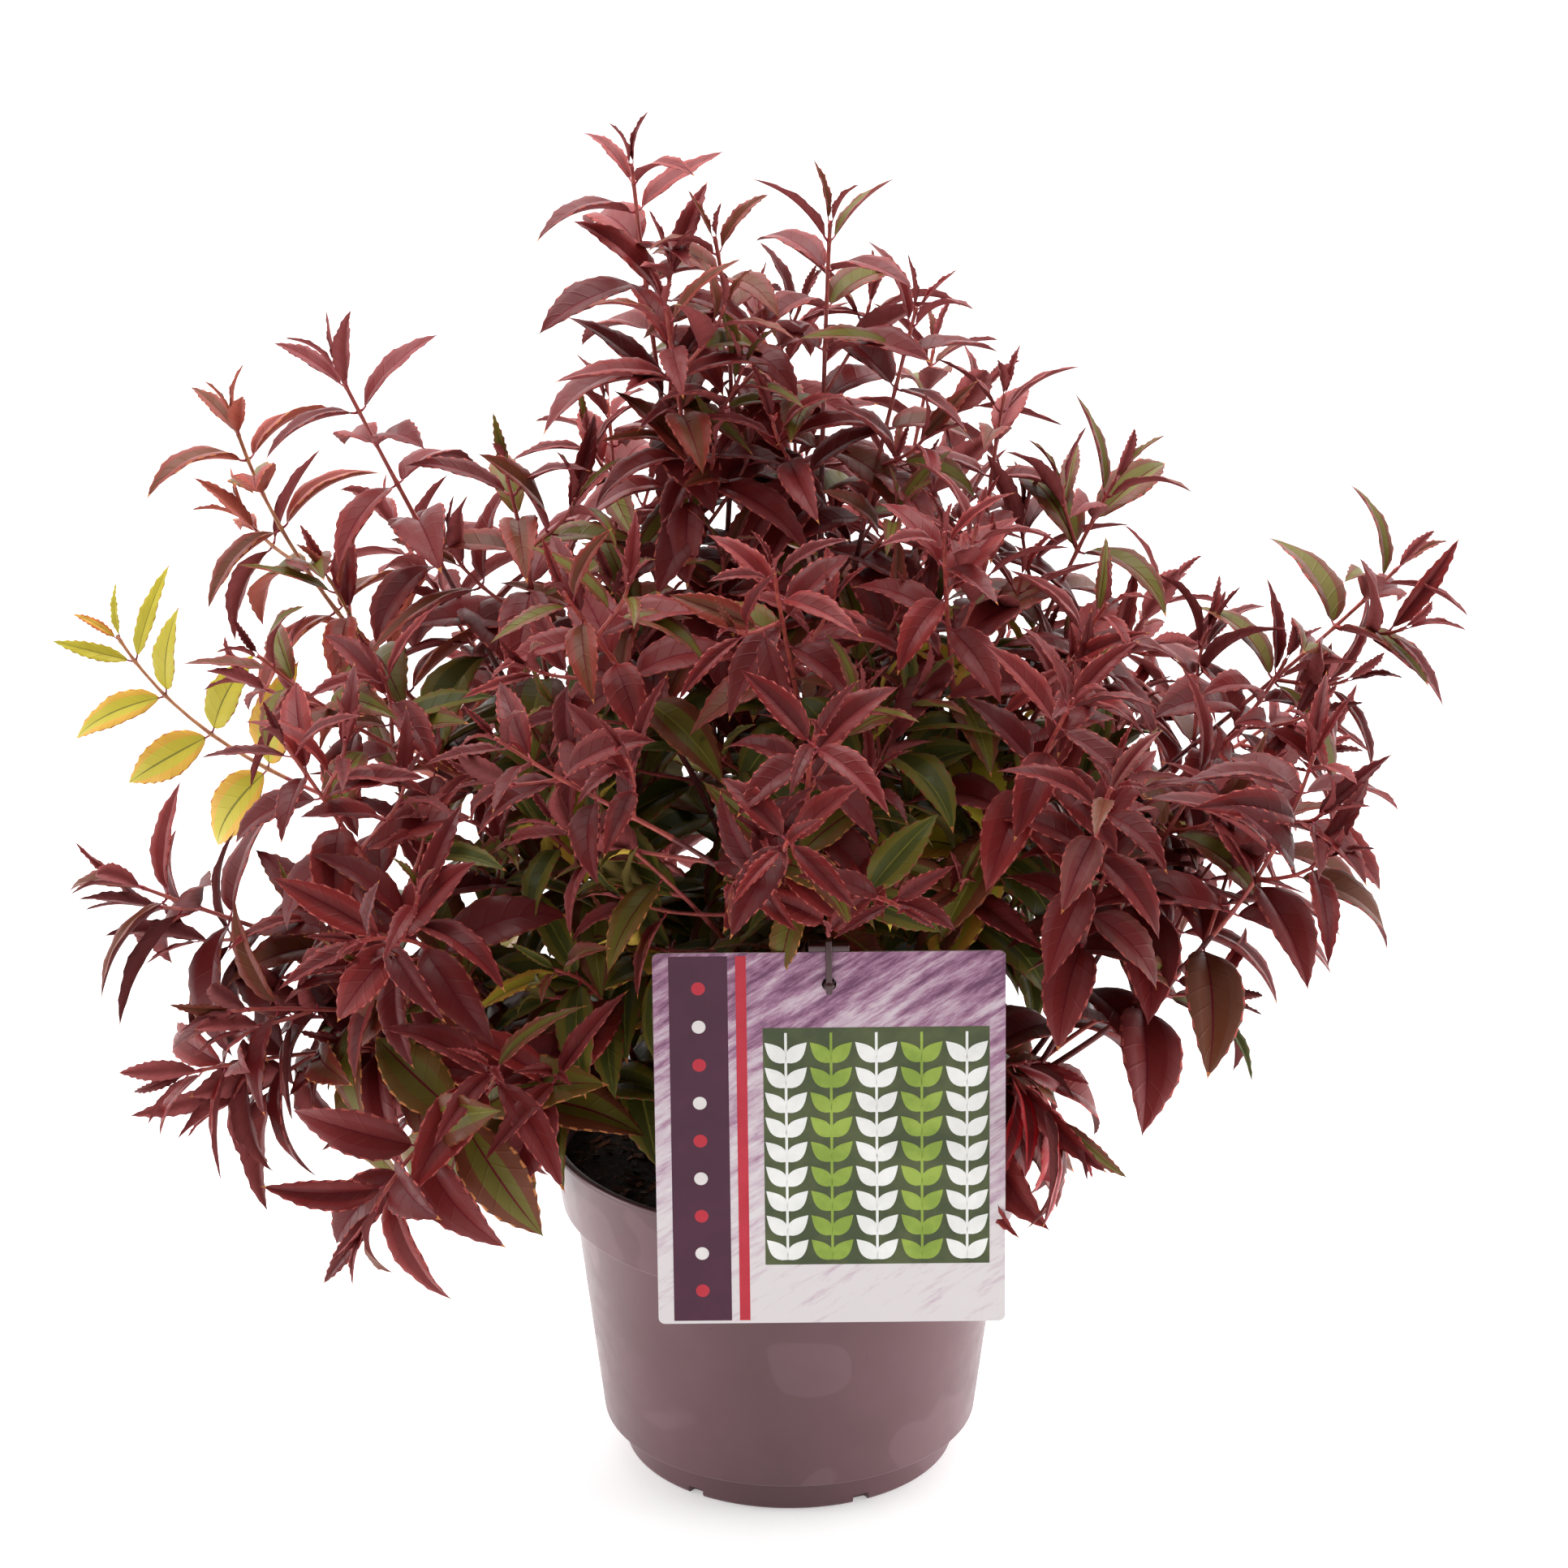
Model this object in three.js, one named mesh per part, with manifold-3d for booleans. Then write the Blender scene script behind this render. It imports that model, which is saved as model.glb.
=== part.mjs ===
// A slender deutzia in a round nursery pot: a small flowering shrub of thin arching canes.
// Millimetres, +Z up. The origin is the middle of the pot's flat underside, and the front faces -Y.
// A cane is one tapering limb that stands on the soil. A mass of foliage is one leafy stem with its
// side twigs, 0.3 mm clear of the limb that it grows from, and it keeps to its own space.

import * as THREE from 'three';
import { mergeVertices } from 'three/addons/utils/BufferGeometryUtils.js';
import Module from 'manifold-3d';

const wasm = await Module();
wasm.setup();

// Driving dimensions
const GAP = 0.3;
const UP = new THREE.Vector3(0, 0, 1);

const POT = {
  height: 138,
  rimRadius: 95,
  lipWidth: 2.8,
  lipHeight: 2.6,
  collarHeight: 31,
  collarFootRadius: 90,
  ledgeDrop: 1.6,
  wallTopRadius: 85,
  wallFootRadius: 74,
  footHeight: 15,
  footRadius: 65.5,
  footEdge: 1.2,
  wall: 1.6,
  base: 2.4,
  innerFootRadius: 57,
  innerFootHeight: 7,
  sides: 32,
};

const NOTCH = { count: 6, firstBearing: -4.5, width: 7, height: 3.5, innerRadius: 61 };

const SOIL = { top: 122, flatRadius: 66, edgeDrop: 2.5, gap: 0.4 };

const CARD = { width: 132, height: 150, thickness: 0.8, corner: 2.5, holeDown: 12.7, holeRadius: 2.75 };
const CARD_PLACE = { across: 14.5, lean: 4, roll: 0.6, topHeight: 250 };

const HOLDER = {
  barWidth: 15.6,
  barHeight: 2.9,
  barBehind: 4.6,
  barFront: 1,
  stakeWidth: 4.4,
  stakeDepth: 2.6,
  stakeBury: 32,
  stakeLean: 5,
  hookWidth: 2.4,
  hookDepth: 2,
  hookRise: 5.4,
  hookDrop: 16,
};

const CANE = { footRadius: 3, tipRadius: 1.5, flare: 1.7, flareLength: 6, sides: 5, rings: 6 };
const STEM = { baseRadius: 1.5, tipRadius: 1.1, sides: 3, step: 40 };
const TWIG = { radius: 1, rings: 1, pair: 2, fork: 7, shortest: 20, share: 0.26, angle: 46, inner: 14 };

const LEAF = {
  length: 53,
  widthShare: 0.4,
  thickness: 1,
  widest: 0.4,
  valley: 0.58,
  fold: 0.42,
  arch: 0.075,
  droop: 0.16,
  sag: 0.2,
  start: 0.2,
};

// Pairs of leaves down a stem from its tip: distance from the one above, angle to the stem, and size.
const PAIRS = {
  first: 3.4,
  second: 8,
  growth: 8,
  longestStep: 38,
  angles: [26, 50, 66],
  sizes: [0.52, 0.78, 0.98, 1.08],
};

// A leaf keeps these distances from the edge of its own space and from whatever is solid. In front of
// the card it also stays above a slope that rises from the card's top edge.
const CLEAR = { space: 1.3, leaf: 6.5, limb: 0.9, pot: 1.6, card: 4, holder: 6, cardSlope: 0.41 };

// Each cane: its foot (distance from the middle, bearing), the end of its shoot, how steeply it
// leaves the soil and ends, and the share of it that is bare limb. Bearings run from +X towards +Y.
const CANES = [
  { name: 'top_left', foot: [8, 162], tip: [-59, 20, 523], spring: 84, rise: 84, limb: 0.45 },
  { name: 'top_right', foot: [9, -30], tip: [15, 10, 504], spring: 84, rise: 84, limb: 0.45 },
  { name: 'upper_right', foot: [27, -5], tip: [123, 0, 406], spring: 70, rise: 62, limb: 0.45 },
  { name: 'upper_left', foot: [22, 175], tip: [-172, 30, 440], spring: 70, rise: 64, limb: 0.45 },
  { name: 'left', foot: [34, 195], tip: [-254, -20, 249], spring: 52, rise: 24, limb: 0.4 },
  { name: 'right_arch', foot: [32, -35], tip: [192, -96, 333], spring: 38, rise: 76, limb: 0.35 },
  { name: 'front', foot: [25, -85], tip: [9, -150, 362], spring: 72, rise: 30, limb: 0.5 },
  { name: 'back', foot: [18, 85], tip: [58, 156, 407], spring: 76, rise: 60, limb: 0.45 },
  { name: 'back_left', foot: [27, 122], tip: [-165, 180, 327], spring: 62, rise: 42, limb: 0.4 },
];

// Each side shoot: the cane it grows from, the place along that limb, its end, its slope there and
// the share of it that is bare.
const SIDE_SHOOTS = [
  { name: 'far_left', from: 'upper_left', at: 0.45, tip: [-215, 60, 410], rise: 74, bare: 0.2 },
  { name: 'right_high', from: 'upper_right', at: 0.4, tip: [233, 20, 363], rise: 46, bare: 0.15 },
  { name: 'back_right', from: 'back', at: 0.4, tip: [156, 172, 297], rise: 38, bare: 0.15 },
  { name: 'top_left_side', from: 'top_left', at: 0.8, tip: [-28, 6, 499], rise: 76, bare: 0.1 },
  { name: 'top_left_front', from: 'top_left', at: 0.85, tip: [-46, -26, 482], rise: 74, bare: 0.1 },
  { name: 'middle_left', from: 'top_left', at: 0.65, tip: [-82, -98, 397], rise: 50, bare: 0.15 },
  { name: 'top_right_side', from: 'top_right', at: 0.85, tip: [47, -8, 476], rise: 76, bare: 0.1 },
  { name: 'middle_front', from: 'top_right', at: 0.7, tip: [-6, -106, 409], rise: 56, bare: 0.15 },
  { name: 'middle_right', from: 'upper_right', at: 0.85, tip: [56, -84, 415], rise: 66, bare: 0.15 },
  { name: 'upper_right_side', from: 'upper_right', at: 0.8, tip: [81, 14, 435], rise: 78, bare: 0.1 },
  { name: 'upper_right_front', from: 'upper_right', at: 0.72, tip: [117, -62, 379], rise: 54, bare: 0.15 },
  { name: 'upper_left_side', from: 'upper_left', at: 0.9, tip: [-106, -12, 411], rise: 74, bare: 0.1 },
  { name: 'left_front_high', from: 'upper_left', at: 0.7, tip: [-199, -40, 350], rise: 48, bare: 0.15 },
  { name: 'left_front', from: 'left', at: 0.85, tip: [-185, -98, 338], rise: 56, bare: 0.12 },
  { name: 'left_front_low', from: 'left', at: 0.7, tip: [-158, -130, 273], rise: 14, bare: 0.2 },
  { name: 'left_low', from: 'left', at: 0.45, tip: [-232, -48, 181], rise: -8, bare: 0.1 },
  { name: 'left_hanging', from: 'left', at: 0.2, tip: [-155, -150, 170], rise: -44, bare: 0.2 },
  { name: 'left_rim', from: 'left', at: 0.1, tip: [-88, -80, 239], rise: 26, bare: 0.1 },
  { name: 'left_yellow', from: 'back_left', at: 0.5, tip: [-270, 112, 300], rise: 58, bare: 0.6 },
  { name: 'front_left', from: 'front', at: 0.85, tip: [-106, -130, 353], rise: 42, bare: 0.12 },
  { name: 'front_low', from: 'front', at: 0.94, tip: [-2, -165, 324], rise: 8, bare: 0.15 },
  { name: 'front_low_right', from: 'front', at: 0.88, tip: [40, -150, 295], rise: 8, bare: 0.15 },
  { name: 'front_right', from: 'upper_right', at: 0.55, tip: [102, -122, 365], rise: 54, bare: 0.15 },
  { name: 'right_front', from: 'right_arch', at: 0.9, tip: [115, -146, 340], rise: 46, bare: 0.12 },
  { name: 'right_inner', from: 'upper_right', at: 0.6, tip: [190, 6, 331], rise: 66, bare: 0.1 },
  { name: 'right_middle', from: 'right_arch', at: 0.7, tip: [158, -50, 311], rise: 60, bare: 0.15 },
  { name: 'right_low', from: 'right_arch', at: 0.5, tip: [161, -70, 223], rise: -4, bare: 0.2 },
  { name: 'right_rim', from: 'right_arch', at: 0.3, tip: [89, -84, 189], rise: -44, bare: 0.2 },
  { name: 'right_back', from: 'back', at: 0.3, tip: [206, 92, 281], rise: 36, bare: 0.25 },
  { name: 'back_top', from: 'back', at: 0.9, tip: [-12, 84, 443], rise: 76, bare: 0.1 },
  { name: 'back_top_left', from: 'back_left', at: 0.85, tip: [-72, 108, 401], rise: 66, bare: 0.15 },
  { name: 'back_middle', from: 'back', at: 0.6, tip: [0, 220, 309], rise: 20, bare: 0.15 },
  { name: 'back_low_right', from: 'back', at: 0.16, tip: [120, 195, 210], rise: -6, bare: 0.2 },
  { name: 'back_low_left', from: 'back_left', at: 0.25, tip: [-92, 205, 217], rise: -4, bare: 0.2 },
  { name: 'inner_left', from: 'upper_left', at: 0.3, tip: [-96, -48, 285], rise: 40, bare: 0.1 },
  { name: 'inner_front_left', from: 'front', at: 0.45, tip: [-58, -84, 289], rise: 46, bare: 0.1 },
  { name: 'left_under', from: 'left', at: 0.6, tip: [-212, -64, 215], rise: 6, bare: 0.1 },
  { name: 'centre', from: 'front', at: 0.62, tip: [47, -70, 348], rise: 62, bare: 0.1 },
];

const COLOURS = {
  wine: 0x5c2430,
  crimson: 0x86161f,
  olive: 0x4c4a20,
  gold: 0xa9a02c,
  rust: 0x7a3524,
  bark: 0x5e3a2a,
  pot: 0x78646a,
  soil: 0x2c211c,
  card: 0xcbb4c4,
  holder: 0x471620,
};
const SPECIAL_COLOURS = {
  right_rim: 'crimson',
  left_rim: 'olive',
  left_yellow: 'gold',
  far_left: 'rust',
  back_low_right: 'olive',
  back_low_left: 'olive',
};

const radians = THREE.MathUtils.degToRad;

// A number from 0 to 1 that depends only on its keys, so a change in one shoot leaves the rest alone.
function chance(shoot, node, side = 0, use = 0) {
  const mix = Math.sin(shoot * 12.9898 + node * 78.233 + side * 37.719 + use * 4.581) * 43758.5453;
  return mix - Math.floor(mix);
}

function spread(shoot, node, side, use, range) {
  return (chance(shoot, node, side, use) * 2 - 1) * range;
}

function slope(bearing, rise) {
  const level = Math.cos(rise);
  return new THREE.Vector3(level * Math.cos(bearing), level * Math.sin(bearing), Math.sin(rise));
}

function bearingOf(from, to) {
  return Math.atan2(to.y - from.y, to.x - from.x);
}

// Solids

function toSolid(geometry) {
  geometry.deleteAttribute('normal');
  geometry.deleteAttribute('uv');
  const merged = mergeVertices(geometry, 1e-4);
  const corners = merged.index.array;
  const kept = [];
  for (let i = 0; i < corners.length; i += 3) {
    const [a, b, c] = [corners[i], corners[i + 1], corners[i + 2]];
    if (a !== b && b !== c && c !== a) kept.push(a, b, c);
  }
  const vertProperties = Float32Array.from(merged.attributes.position.array);
  return new wasm.Manifold(new wasm.Mesh({ numProp: 3, vertProperties, triVerts: Uint32Array.from(kept) }));
}

function toGeometry(solid) {
  const mesh = solid.getMesh();
  const geometry = new THREE.BufferGeometry();
  geometry.setAttribute('position', new THREE.BufferAttribute(Float32Array.from(mesh.vertProperties), 3));
  geometry.setIndex(new THREE.BufferAttribute(Uint32Array.from(mesh.triVerts), 1));
  geometry.computeVertexNormals();
  return geometry;
}

// The largest piece of a join: a hollow that the join seals is filled, and a loose scrap is dropped.
function largestPiece(solid) {
  const pieces = solid.decompose();
  return pieces.reduce((best, piece) => (piece.volume() > best.volume() ? piece : best));
}

function box(sizeX, sizeY, sizeZ, x, y, z) {
  return new THREE.BoxGeometry(sizeX, sizeY, sizeZ).translate(x, y, z);
}

function turned(outline, sides) {
  const points = outline.map(([radius, height]) => new THREE.Vector2(radius, height));
  return new THREE.LatheGeometry(points, sides).rotateX(Math.PI / 2);
}

// Pot and soil

const LEDGE_HEIGHT = POT.height - POT.collarHeight;

function innerWall(inset) {
  const collarTop = POT.rimRadius - POT.lipWidth - inset;
  return [
    [collarTop, POT.height],
    [POT.collarFootRadius - POT.wall - inset, LEDGE_HEIGHT + POT.wall],
    [POT.wallTopRadius - POT.wall - inset, LEDGE_HEIGHT - POT.ledgeDrop],
    [POT.wallFootRadius - POT.wall - inset, POT.footHeight + POT.wall * 1.2 + inset],
    [POT.footRadius - POT.wall - inset, POT.footHeight + POT.wall * 0.6 + inset],
    [POT.footRadius - POT.wall - inset, POT.innerFootHeight + inset],
    [POT.innerFootRadius - inset, POT.base + inset],
    [0, POT.base + inset],
  ];
}

function buildPot() {
  const outline = [
    [0, 0],
    [POT.footRadius - POT.footEdge, 0],
    [POT.footRadius, POT.footEdge],
    [POT.footRadius, POT.footHeight],
    [POT.wallFootRadius, POT.footHeight],
    [POT.wallTopRadius, LEDGE_HEIGHT - POT.ledgeDrop],
    [POT.collarFootRadius, LEDGE_HEIGHT],
    [POT.rimRadius - 1, POT.height - POT.lipHeight],
    [POT.rimRadius, POT.height - POT.lipHeight],
    [POT.rimRadius, POT.height - 0.8],
    [POT.rimRadius - 0.8, POT.height],
    ...innerWall(0),
  ];
  let pot = toSolid(turned(outline, POT.sides));
  const depth = 20;
  for (let i = 0; i < NOTCH.count; i += 1) {
    const notch = box(depth, NOTCH.width, NOTCH.height * 2, NOTCH.innerRadius + depth / 2, 0, 0);
    const bearing = radians(NOTCH.firstBearing + (360 / NOTCH.count) * i);
    pot = pot.subtract(toSolid(notch.rotateZ(bearing)));
  }
  return pot;
}

function potInnerRadiusAt(height) {
  const walls = innerWall(SOIL.gap);
  const upper = walls[0];
  const lower = walls[1];
  const share = (height - lower[1]) / (upper[1] - lower[1]);
  return THREE.MathUtils.lerp(lower[0], upper[0], share);
}

function buildSoil() {
  const rimHeight = SOIL.top - SOIL.edgeDrop;
  const [, ...lowerWall] = innerWall(SOIL.gap);
  const outline = [
    [0, SOIL.top],
    [SOIL.flatRadius, SOIL.top],
    [potInnerRadiusAt(rimHeight), rimHeight],
    ...lowerWall,
  ];
  return toSolid(turned(outline.reverse(), POT.sides));
}

function potRadiusAt(height) {
  if (height > LEDGE_HEIGHT - POT.ledgeDrop) return POT.rimRadius;
  const share = Math.max(0, (height - POT.footHeight) / (LEDGE_HEIGHT - POT.footHeight));
  return THREE.MathUtils.lerp(POT.wallFootRadius, POT.wallTopRadius, share);
}

// Hang card and its holder. The card's own frame has its top edge's middle at the origin, +X along
// that edge, +Z up the card and +Y into the plant.

const CARD_FRAME = new THREE.Matrix4();
{
  const drop = CARD_PLACE.topHeight - POT.height;
  const rimTouch = -POT.rimRadius - GAP;
  const turn = new THREE.Euler(radians(-CARD_PLACE.lean), radians(CARD_PLACE.roll * -1), 0, 'XYZ');
  CARD_FRAME.makeRotationFromEuler(turn);
  const topY = rimTouch + drop * Math.tan(radians(CARD_PLACE.lean)) - CARD.thickness;
  CARD_FRAME.setPosition(CARD_PLACE.across, topY, CARD_PLACE.topHeight);
}
const INTO_CARD_FRAME = CARD_FRAME.clone().invert();

function buildCard() {
  const half = CARD.width / 2;
  const round = CARD.corner;
  const outline = new THREE.Shape();
  outline.moveTo(-half + round, -CARD.height);
  outline.lineTo(half - round, -CARD.height);
  outline.quadraticCurveTo(half, -CARD.height, half, -CARD.height + round);
  outline.lineTo(half, -round);
  outline.quadraticCurveTo(half, 0, half - round, 0);
  outline.lineTo(-half + round, 0);
  outline.quadraticCurveTo(-half, 0, -half, -round);
  outline.lineTo(-half, -CARD.height + round);
  outline.quadraticCurveTo(-half, -CARD.height, -half + round, -CARD.height);
  const hole = new THREE.Path();
  hole.absarc(0, -CARD.holeDown, CARD.holeRadius, 0, Math.PI * 2, true);
  outline.holes.push(hole);
  const sheet = new THREE.ExtrudeGeometry(outline, { depth: CARD.thickness, bevelEnabled: false, curveSegments: 4 });
  return toSolid(sheet.rotateX(Math.PI / 2).translate(0, CARD.thickness, 0));
}

function buildHolder() {
  const behind = CARD.thickness + HOLDER.barBehind;
  const barDepth = behind + HOLDER.barFront;
  const barMiddle = (behind - HOLDER.barFront) / 2;
  const bar = box(HOLDER.barWidth, barDepth, HOLDER.barHeight, 0, barMiddle, GAP + HOLDER.barHeight / 2);
  const hookY = -HOLDER.barFront + GAP - HOLDER.hookDepth / 2;
  const hookHeight = HOLDER.hookRise + HOLDER.hookDrop;
  const hookMiddle = (HOLDER.hookRise - HOLDER.hookDrop) / 2;
  const hook = box(HOLDER.hookWidth, HOLDER.hookDepth, hookHeight, 0, hookY, hookMiddle);
  const bridgeDepth = behind - hookY;
  const bridgeHeight = HOLDER.hookRise - GAP - 1;
  const bridge = box(
    HOLDER.hookWidth, bridgeDepth, bridgeHeight,
    0, hookY + bridgeDepth / 2, HOLDER.hookRise - bridgeHeight / 2,
  );
  const pegDepth = CARD.thickness - hookY + 1;
  const peg = box(HOLDER.hookWidth, pegDepth, HOLDER.hookWidth, 0, hookY + pegDepth / 2, -CARD.holeDown);
  let holder = toSolid(bar);
  for (const piece of [hook, bridge, peg]) holder = holder.add(toSolid(piece));
  holder = holder.transform(CARD_FRAME.toArray());
  return holder.add(toSolid(stakeShape(0)));
}

// The stake hangs from the back of the bar and leans into the soil.
const STAKE_TOP = new THREE.Vector3(0, CARD.thickness + HOLDER.barBehind - HOLDER.stakeDepth / 2, GAP)
  .applyMatrix4(CARD_FRAME);

function stakeShape(margin) {
  const length = (STAKE_TOP.z - SOIL.top + HOLDER.stakeBury) / Math.cos(radians(HOLDER.stakeLean));
  const width = HOLDER.stakeWidth + margin * 2;
  const depth = HOLDER.stakeDepth + margin * 2;
  const shape = box(width, depth, length + margin * 2, 0, 0, -length / 2 + HOLDER.barHeight / 2);
  return shape.rotateX(radians(HOLDER.stakeLean)).translate(...STAKE_TOP.toArray());
}

// Canes and stems

class Stem {
  constructor(curve, start, end, rings = 1) {
    this.curve = curve;
    this.start = start;
    this.end = end;
    this.rings = rings;
    this.length = curve.getLength() * (end - start);
    const chord = curve.getPoint(1).sub(curve.getPoint(0));
    this.across = new THREE.Vector3().crossVectors(chord, UP);
    if (this.across.length() < chord.length() * 0.05) this.across.set(1, 0, 0);
    this.across.normalize();
  }

  pointAt(share) {
    return this.curve.getPointAt(THREE.MathUtils.lerp(this.start, this.end, share));
  }

  frameAt(share) {
    const along = this.curve.getTangentAt(THREE.MathUtils.lerp(this.start, this.end, share));
    const side = this.across.clone().addScaledVector(along, -this.across.dot(along)).normalize();
    const lift = new THREE.Vector3().crossVectors(side, along);
    return { along, side, lift };
  }

  line(steps) {
    return Array.from({ length: steps + 1 }, (_, i) => this.pointAt(i / steps));
  }

  // The middle of the faceted stem, which runs straight from ring to ring.
  middleAt(share) {
    const place = share * this.rings;
    const ring = Math.min(Math.floor(place), this.rings - 1);
    return this.pointAt(ring / this.rings).lerp(this.pointAt((ring + 1) / this.rings), place - ring);
  }
}

function bend(start, startSlope, end, endSlope) {
  const pull = start.distanceTo(end) * 0.36;
  const second = start.clone().addScaledVector(startSlope, pull);
  const third = end.clone().addScaledVector(endSlope, -pull);
  return new THREE.CubicBezierCurve3(start, second, third, end);
}

// A cylinder bent along a stem. radiusAt gives its radius at each share of the length, and crowding
// above 1 draws its rings towards the foot.
function bentCylinder(stem, radiusAt, sides, rings, crowding = 1) {
  const shape = new THREE.CylinderGeometry(1, 1, 1, sides, rings);
  const places = shape.attributes.position;
  for (let i = 0; i < places.count; i += 1) {
    const share = (places.getY(i) + 0.5) ** crowding;
    const { side, lift } = stem.frameAt(share);
    const radius = radiusAt(share);
    const place = stem.pointAt(share);
    place.addScaledVector(side, places.getX(i) * radius);
    place.addScaledVector(lift, places.getZ(i) * radius);
    places.setXYZ(i, place.x, place.y, place.z);
  }
  return shape;
}

function caneRadiusAt(length, share) {
  const taper = THREE.MathUtils.lerp(CANE.footRadius, CANE.tipRadius, share);
  return taper + CANE.flare * Math.exp((-share * length) / CANE.flareLength);
}

// The cane's foot is cut level, just above the soil.
function buildCane(cane) {
  const { limb } = cane;
  const radiusAt = (share) => caneRadiusAt(limb.length, share);
  const shape = bentCylinder(limb, radiusAt, CANE.sides, CANE.rings, 1.6);
  const places = shape.attributes.position;
  const foot = limb.pointAt(0);
  const { along } = limb.frameAt(0);
  for (let i = 0; i < places.count; i += 1) {
    const place = new THREE.Vector3().fromBufferAttribute(places, i);
    const beyond = place.clone().sub(foot).dot(along);
    if (Math.abs(beyond) > 0.01) continue;
    place.addScaledVector(along, (foot.z - place.z) / along.z);
    places.setXYZ(i, place.x, place.y, place.z);
  }
  return toSolid(shape);
}

for (const cane of CANES) {
  const [distance, bearing] = cane.foot;
  const foot = slope(radians(bearing), 0).multiplyScalar(distance).setZ(SOIL.top + GAP);
  const tip = new THREE.Vector3(...cane.tip);
  const heading = bearingOf(foot, tip);
  const curve = bend(foot, slope(heading, radians(cane.spring)), tip, slope(heading, radians(cane.rise)));
  cane.limb = new Stem(curve, 0, cane.limb);
  cane.limb.radiusAt = (share) => caneRadiusAt(cane.limb.length, share);
  cane.limb.points = cane.limb.line(24);
  cane.curve = curve;
}

// Distance from a point to a line of points, and the share of the line where it is nearest.
function nearest(point, points) {
  let best = Infinity;
  let bestShare = 0;
  const closest = new THREE.Vector3();
  const segment = new THREE.Line3();
  for (let i = 0; i < points.length - 1; i += 1) {
    segment.set(points[i], points[i + 1]);
    const share = segment.closestPointToPointParameter(point, true);
    segment.at(share, closest);
    const distance = closest.distanceTo(point);
    if (distance < best) {
      best = distance;
      bestShare = (i + share) / (points.length - 1);
    }
  }
  return { distance: best, share: bestShare };
}

function clearOfLimb(stem, share, limb) {
  const { side, lift } = stem.frameAt(share);
  const turns = Array.from({ length: STEM.sides }, (_, i) => (i / STEM.sides) * Math.PI * 2);
  return turns.every((turn) => {
    const corner = stem.pointAt(share);
    corner.addScaledVector(side, Math.sin(turn) * STEM.baseRadius);
    corner.addScaledVector(lift, Math.cos(turn) * STEM.baseRadius);
    const found = nearest(corner, limb.points);
    return found.distance > limb.radiusAt(found.share) + GAP;
  });
}

// The first place along a stem where its cut end, and the stem just past it, stand clear of the limb.
function clearStart(curve, limb) {
  const stem = new Stem(curve, 0, 1);
  const step = 0.1 / stem.length;
  const past = 3 / stem.length;
  let share = step;
  while (!(clearOfLimb(stem, share, limb) && clearOfLimb(stem, share + past, limb))) share += step;
  return share;
}

// The masses in order: the end of each cane, then the side shoots.
const masses = [];
for (const cane of CANES) {
  const start = cane.limb.end + GAP / cane.curve.getLength();
  masses.push({ name: cane.name, stem: new Stem(cane.curve, start, 1), bare: 0.04 });
}
for (const shoot of SIDE_SHOOTS) {
  const { limb } = CANES.find((cane) => cane.name === shoot.from);
  const start = limb.pointAt(shoot.at);
  const tip = new THREE.Vector3(...shoot.tip);
  const chord = tip.clone().sub(start).normalize();
  const leave = limb.frameAt(shoot.at).along.multiplyScalar(0.5).addScaledVector(chord, 0.5).normalize();
  const curve = bend(start, leave, tip, slope(bearingOf(start, tip), radians(shoot.rise)));
  masses.push({ name: shoot.name, stem: new Stem(curve, clearStart(curve, limb), 1), bare: shoot.bare });
}
masses.forEach((mass, order) => {
  mass.order = order;
  mass.stem.rings = Math.max(3, Math.round(mass.stem.length / STEM.step));
  mass.points = mass.stem.line(8);
});

// Space

function inOwnSpace(point, mass) {
  const own = nearest(point, mass.points).distance;
  return masses.every((other) => other === mass || nearest(point, other.points).distance > own + CLEAR.space);
}

function clearOfLimbs(point) {
  return CANES.every(({ limb }) => {
    const found = nearest(point, limb.points);
    return found.distance > limb.radiusAt(found.share) + CLEAR.limb;
  });
}

function clearOfPot(point) {
  if (point.z > POT.height + CLEAR.pot) return true;
  return Math.hypot(point.x, point.y) > potRadiusAt(point.z) + CLEAR.pot && point.z > CLEAR.pot;
}

function clearOfCard(point) {
  const { x, y, z } = point.clone().applyMatrix4(INTO_CARD_FRAME);
  const inWidth = Math.abs(x) < CARD.width / 2 + CLEAR.card;
  const inHeight = z < CLEAR.card && z > -CARD.height - CLEAR.card;
  if (inWidth && inHeight && Math.abs(y) < CLEAR.card) return false;
  if (inWidth && y < 0 && z < CLEAR.card - y * CLEAR.cardSlope) return false;
  const nearBar = Math.abs(x) < HOLDER.barWidth / 2 + CLEAR.card && Math.abs(z) < HOLDER.hookDrop;
  if (nearBar && Math.abs(y) < HOLDER.barBehind + CLEAR.card) return false;
  const stakeY = STAKE_TOP.y + (STAKE_TOP.z - point.z) * Math.tan(radians(HOLDER.stakeLean));
  const fromStake = Math.hypot(point.x - STAKE_TOP.x, point.y - stakeY);
  return point.z > STAKE_TOP.z || fromStake > CLEAR.holder;
}

// A leaf's outer part keeps off the outer parts of the mass's other leaves.
function clearOfLeaves(leaf, leaves) {
  const own = OUTER_PLACES.map((place) => leafPoint(leaf, place));
  return leaves.every((other) => {
    const others = OUTER_PLACES.map((place) => leafPoint(other, place));
    return own.every((point) => others.every((spot) => spot.distanceTo(point) > CLEAR.leaf));
  });
}

function fits(points, mass) {
  return points.every(
    (point) => clearOfPot(point) && clearOfCard(point) && clearOfLimbs(point) && inOwnSpace(point, mass),
  );
}

// Leaves

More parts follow.
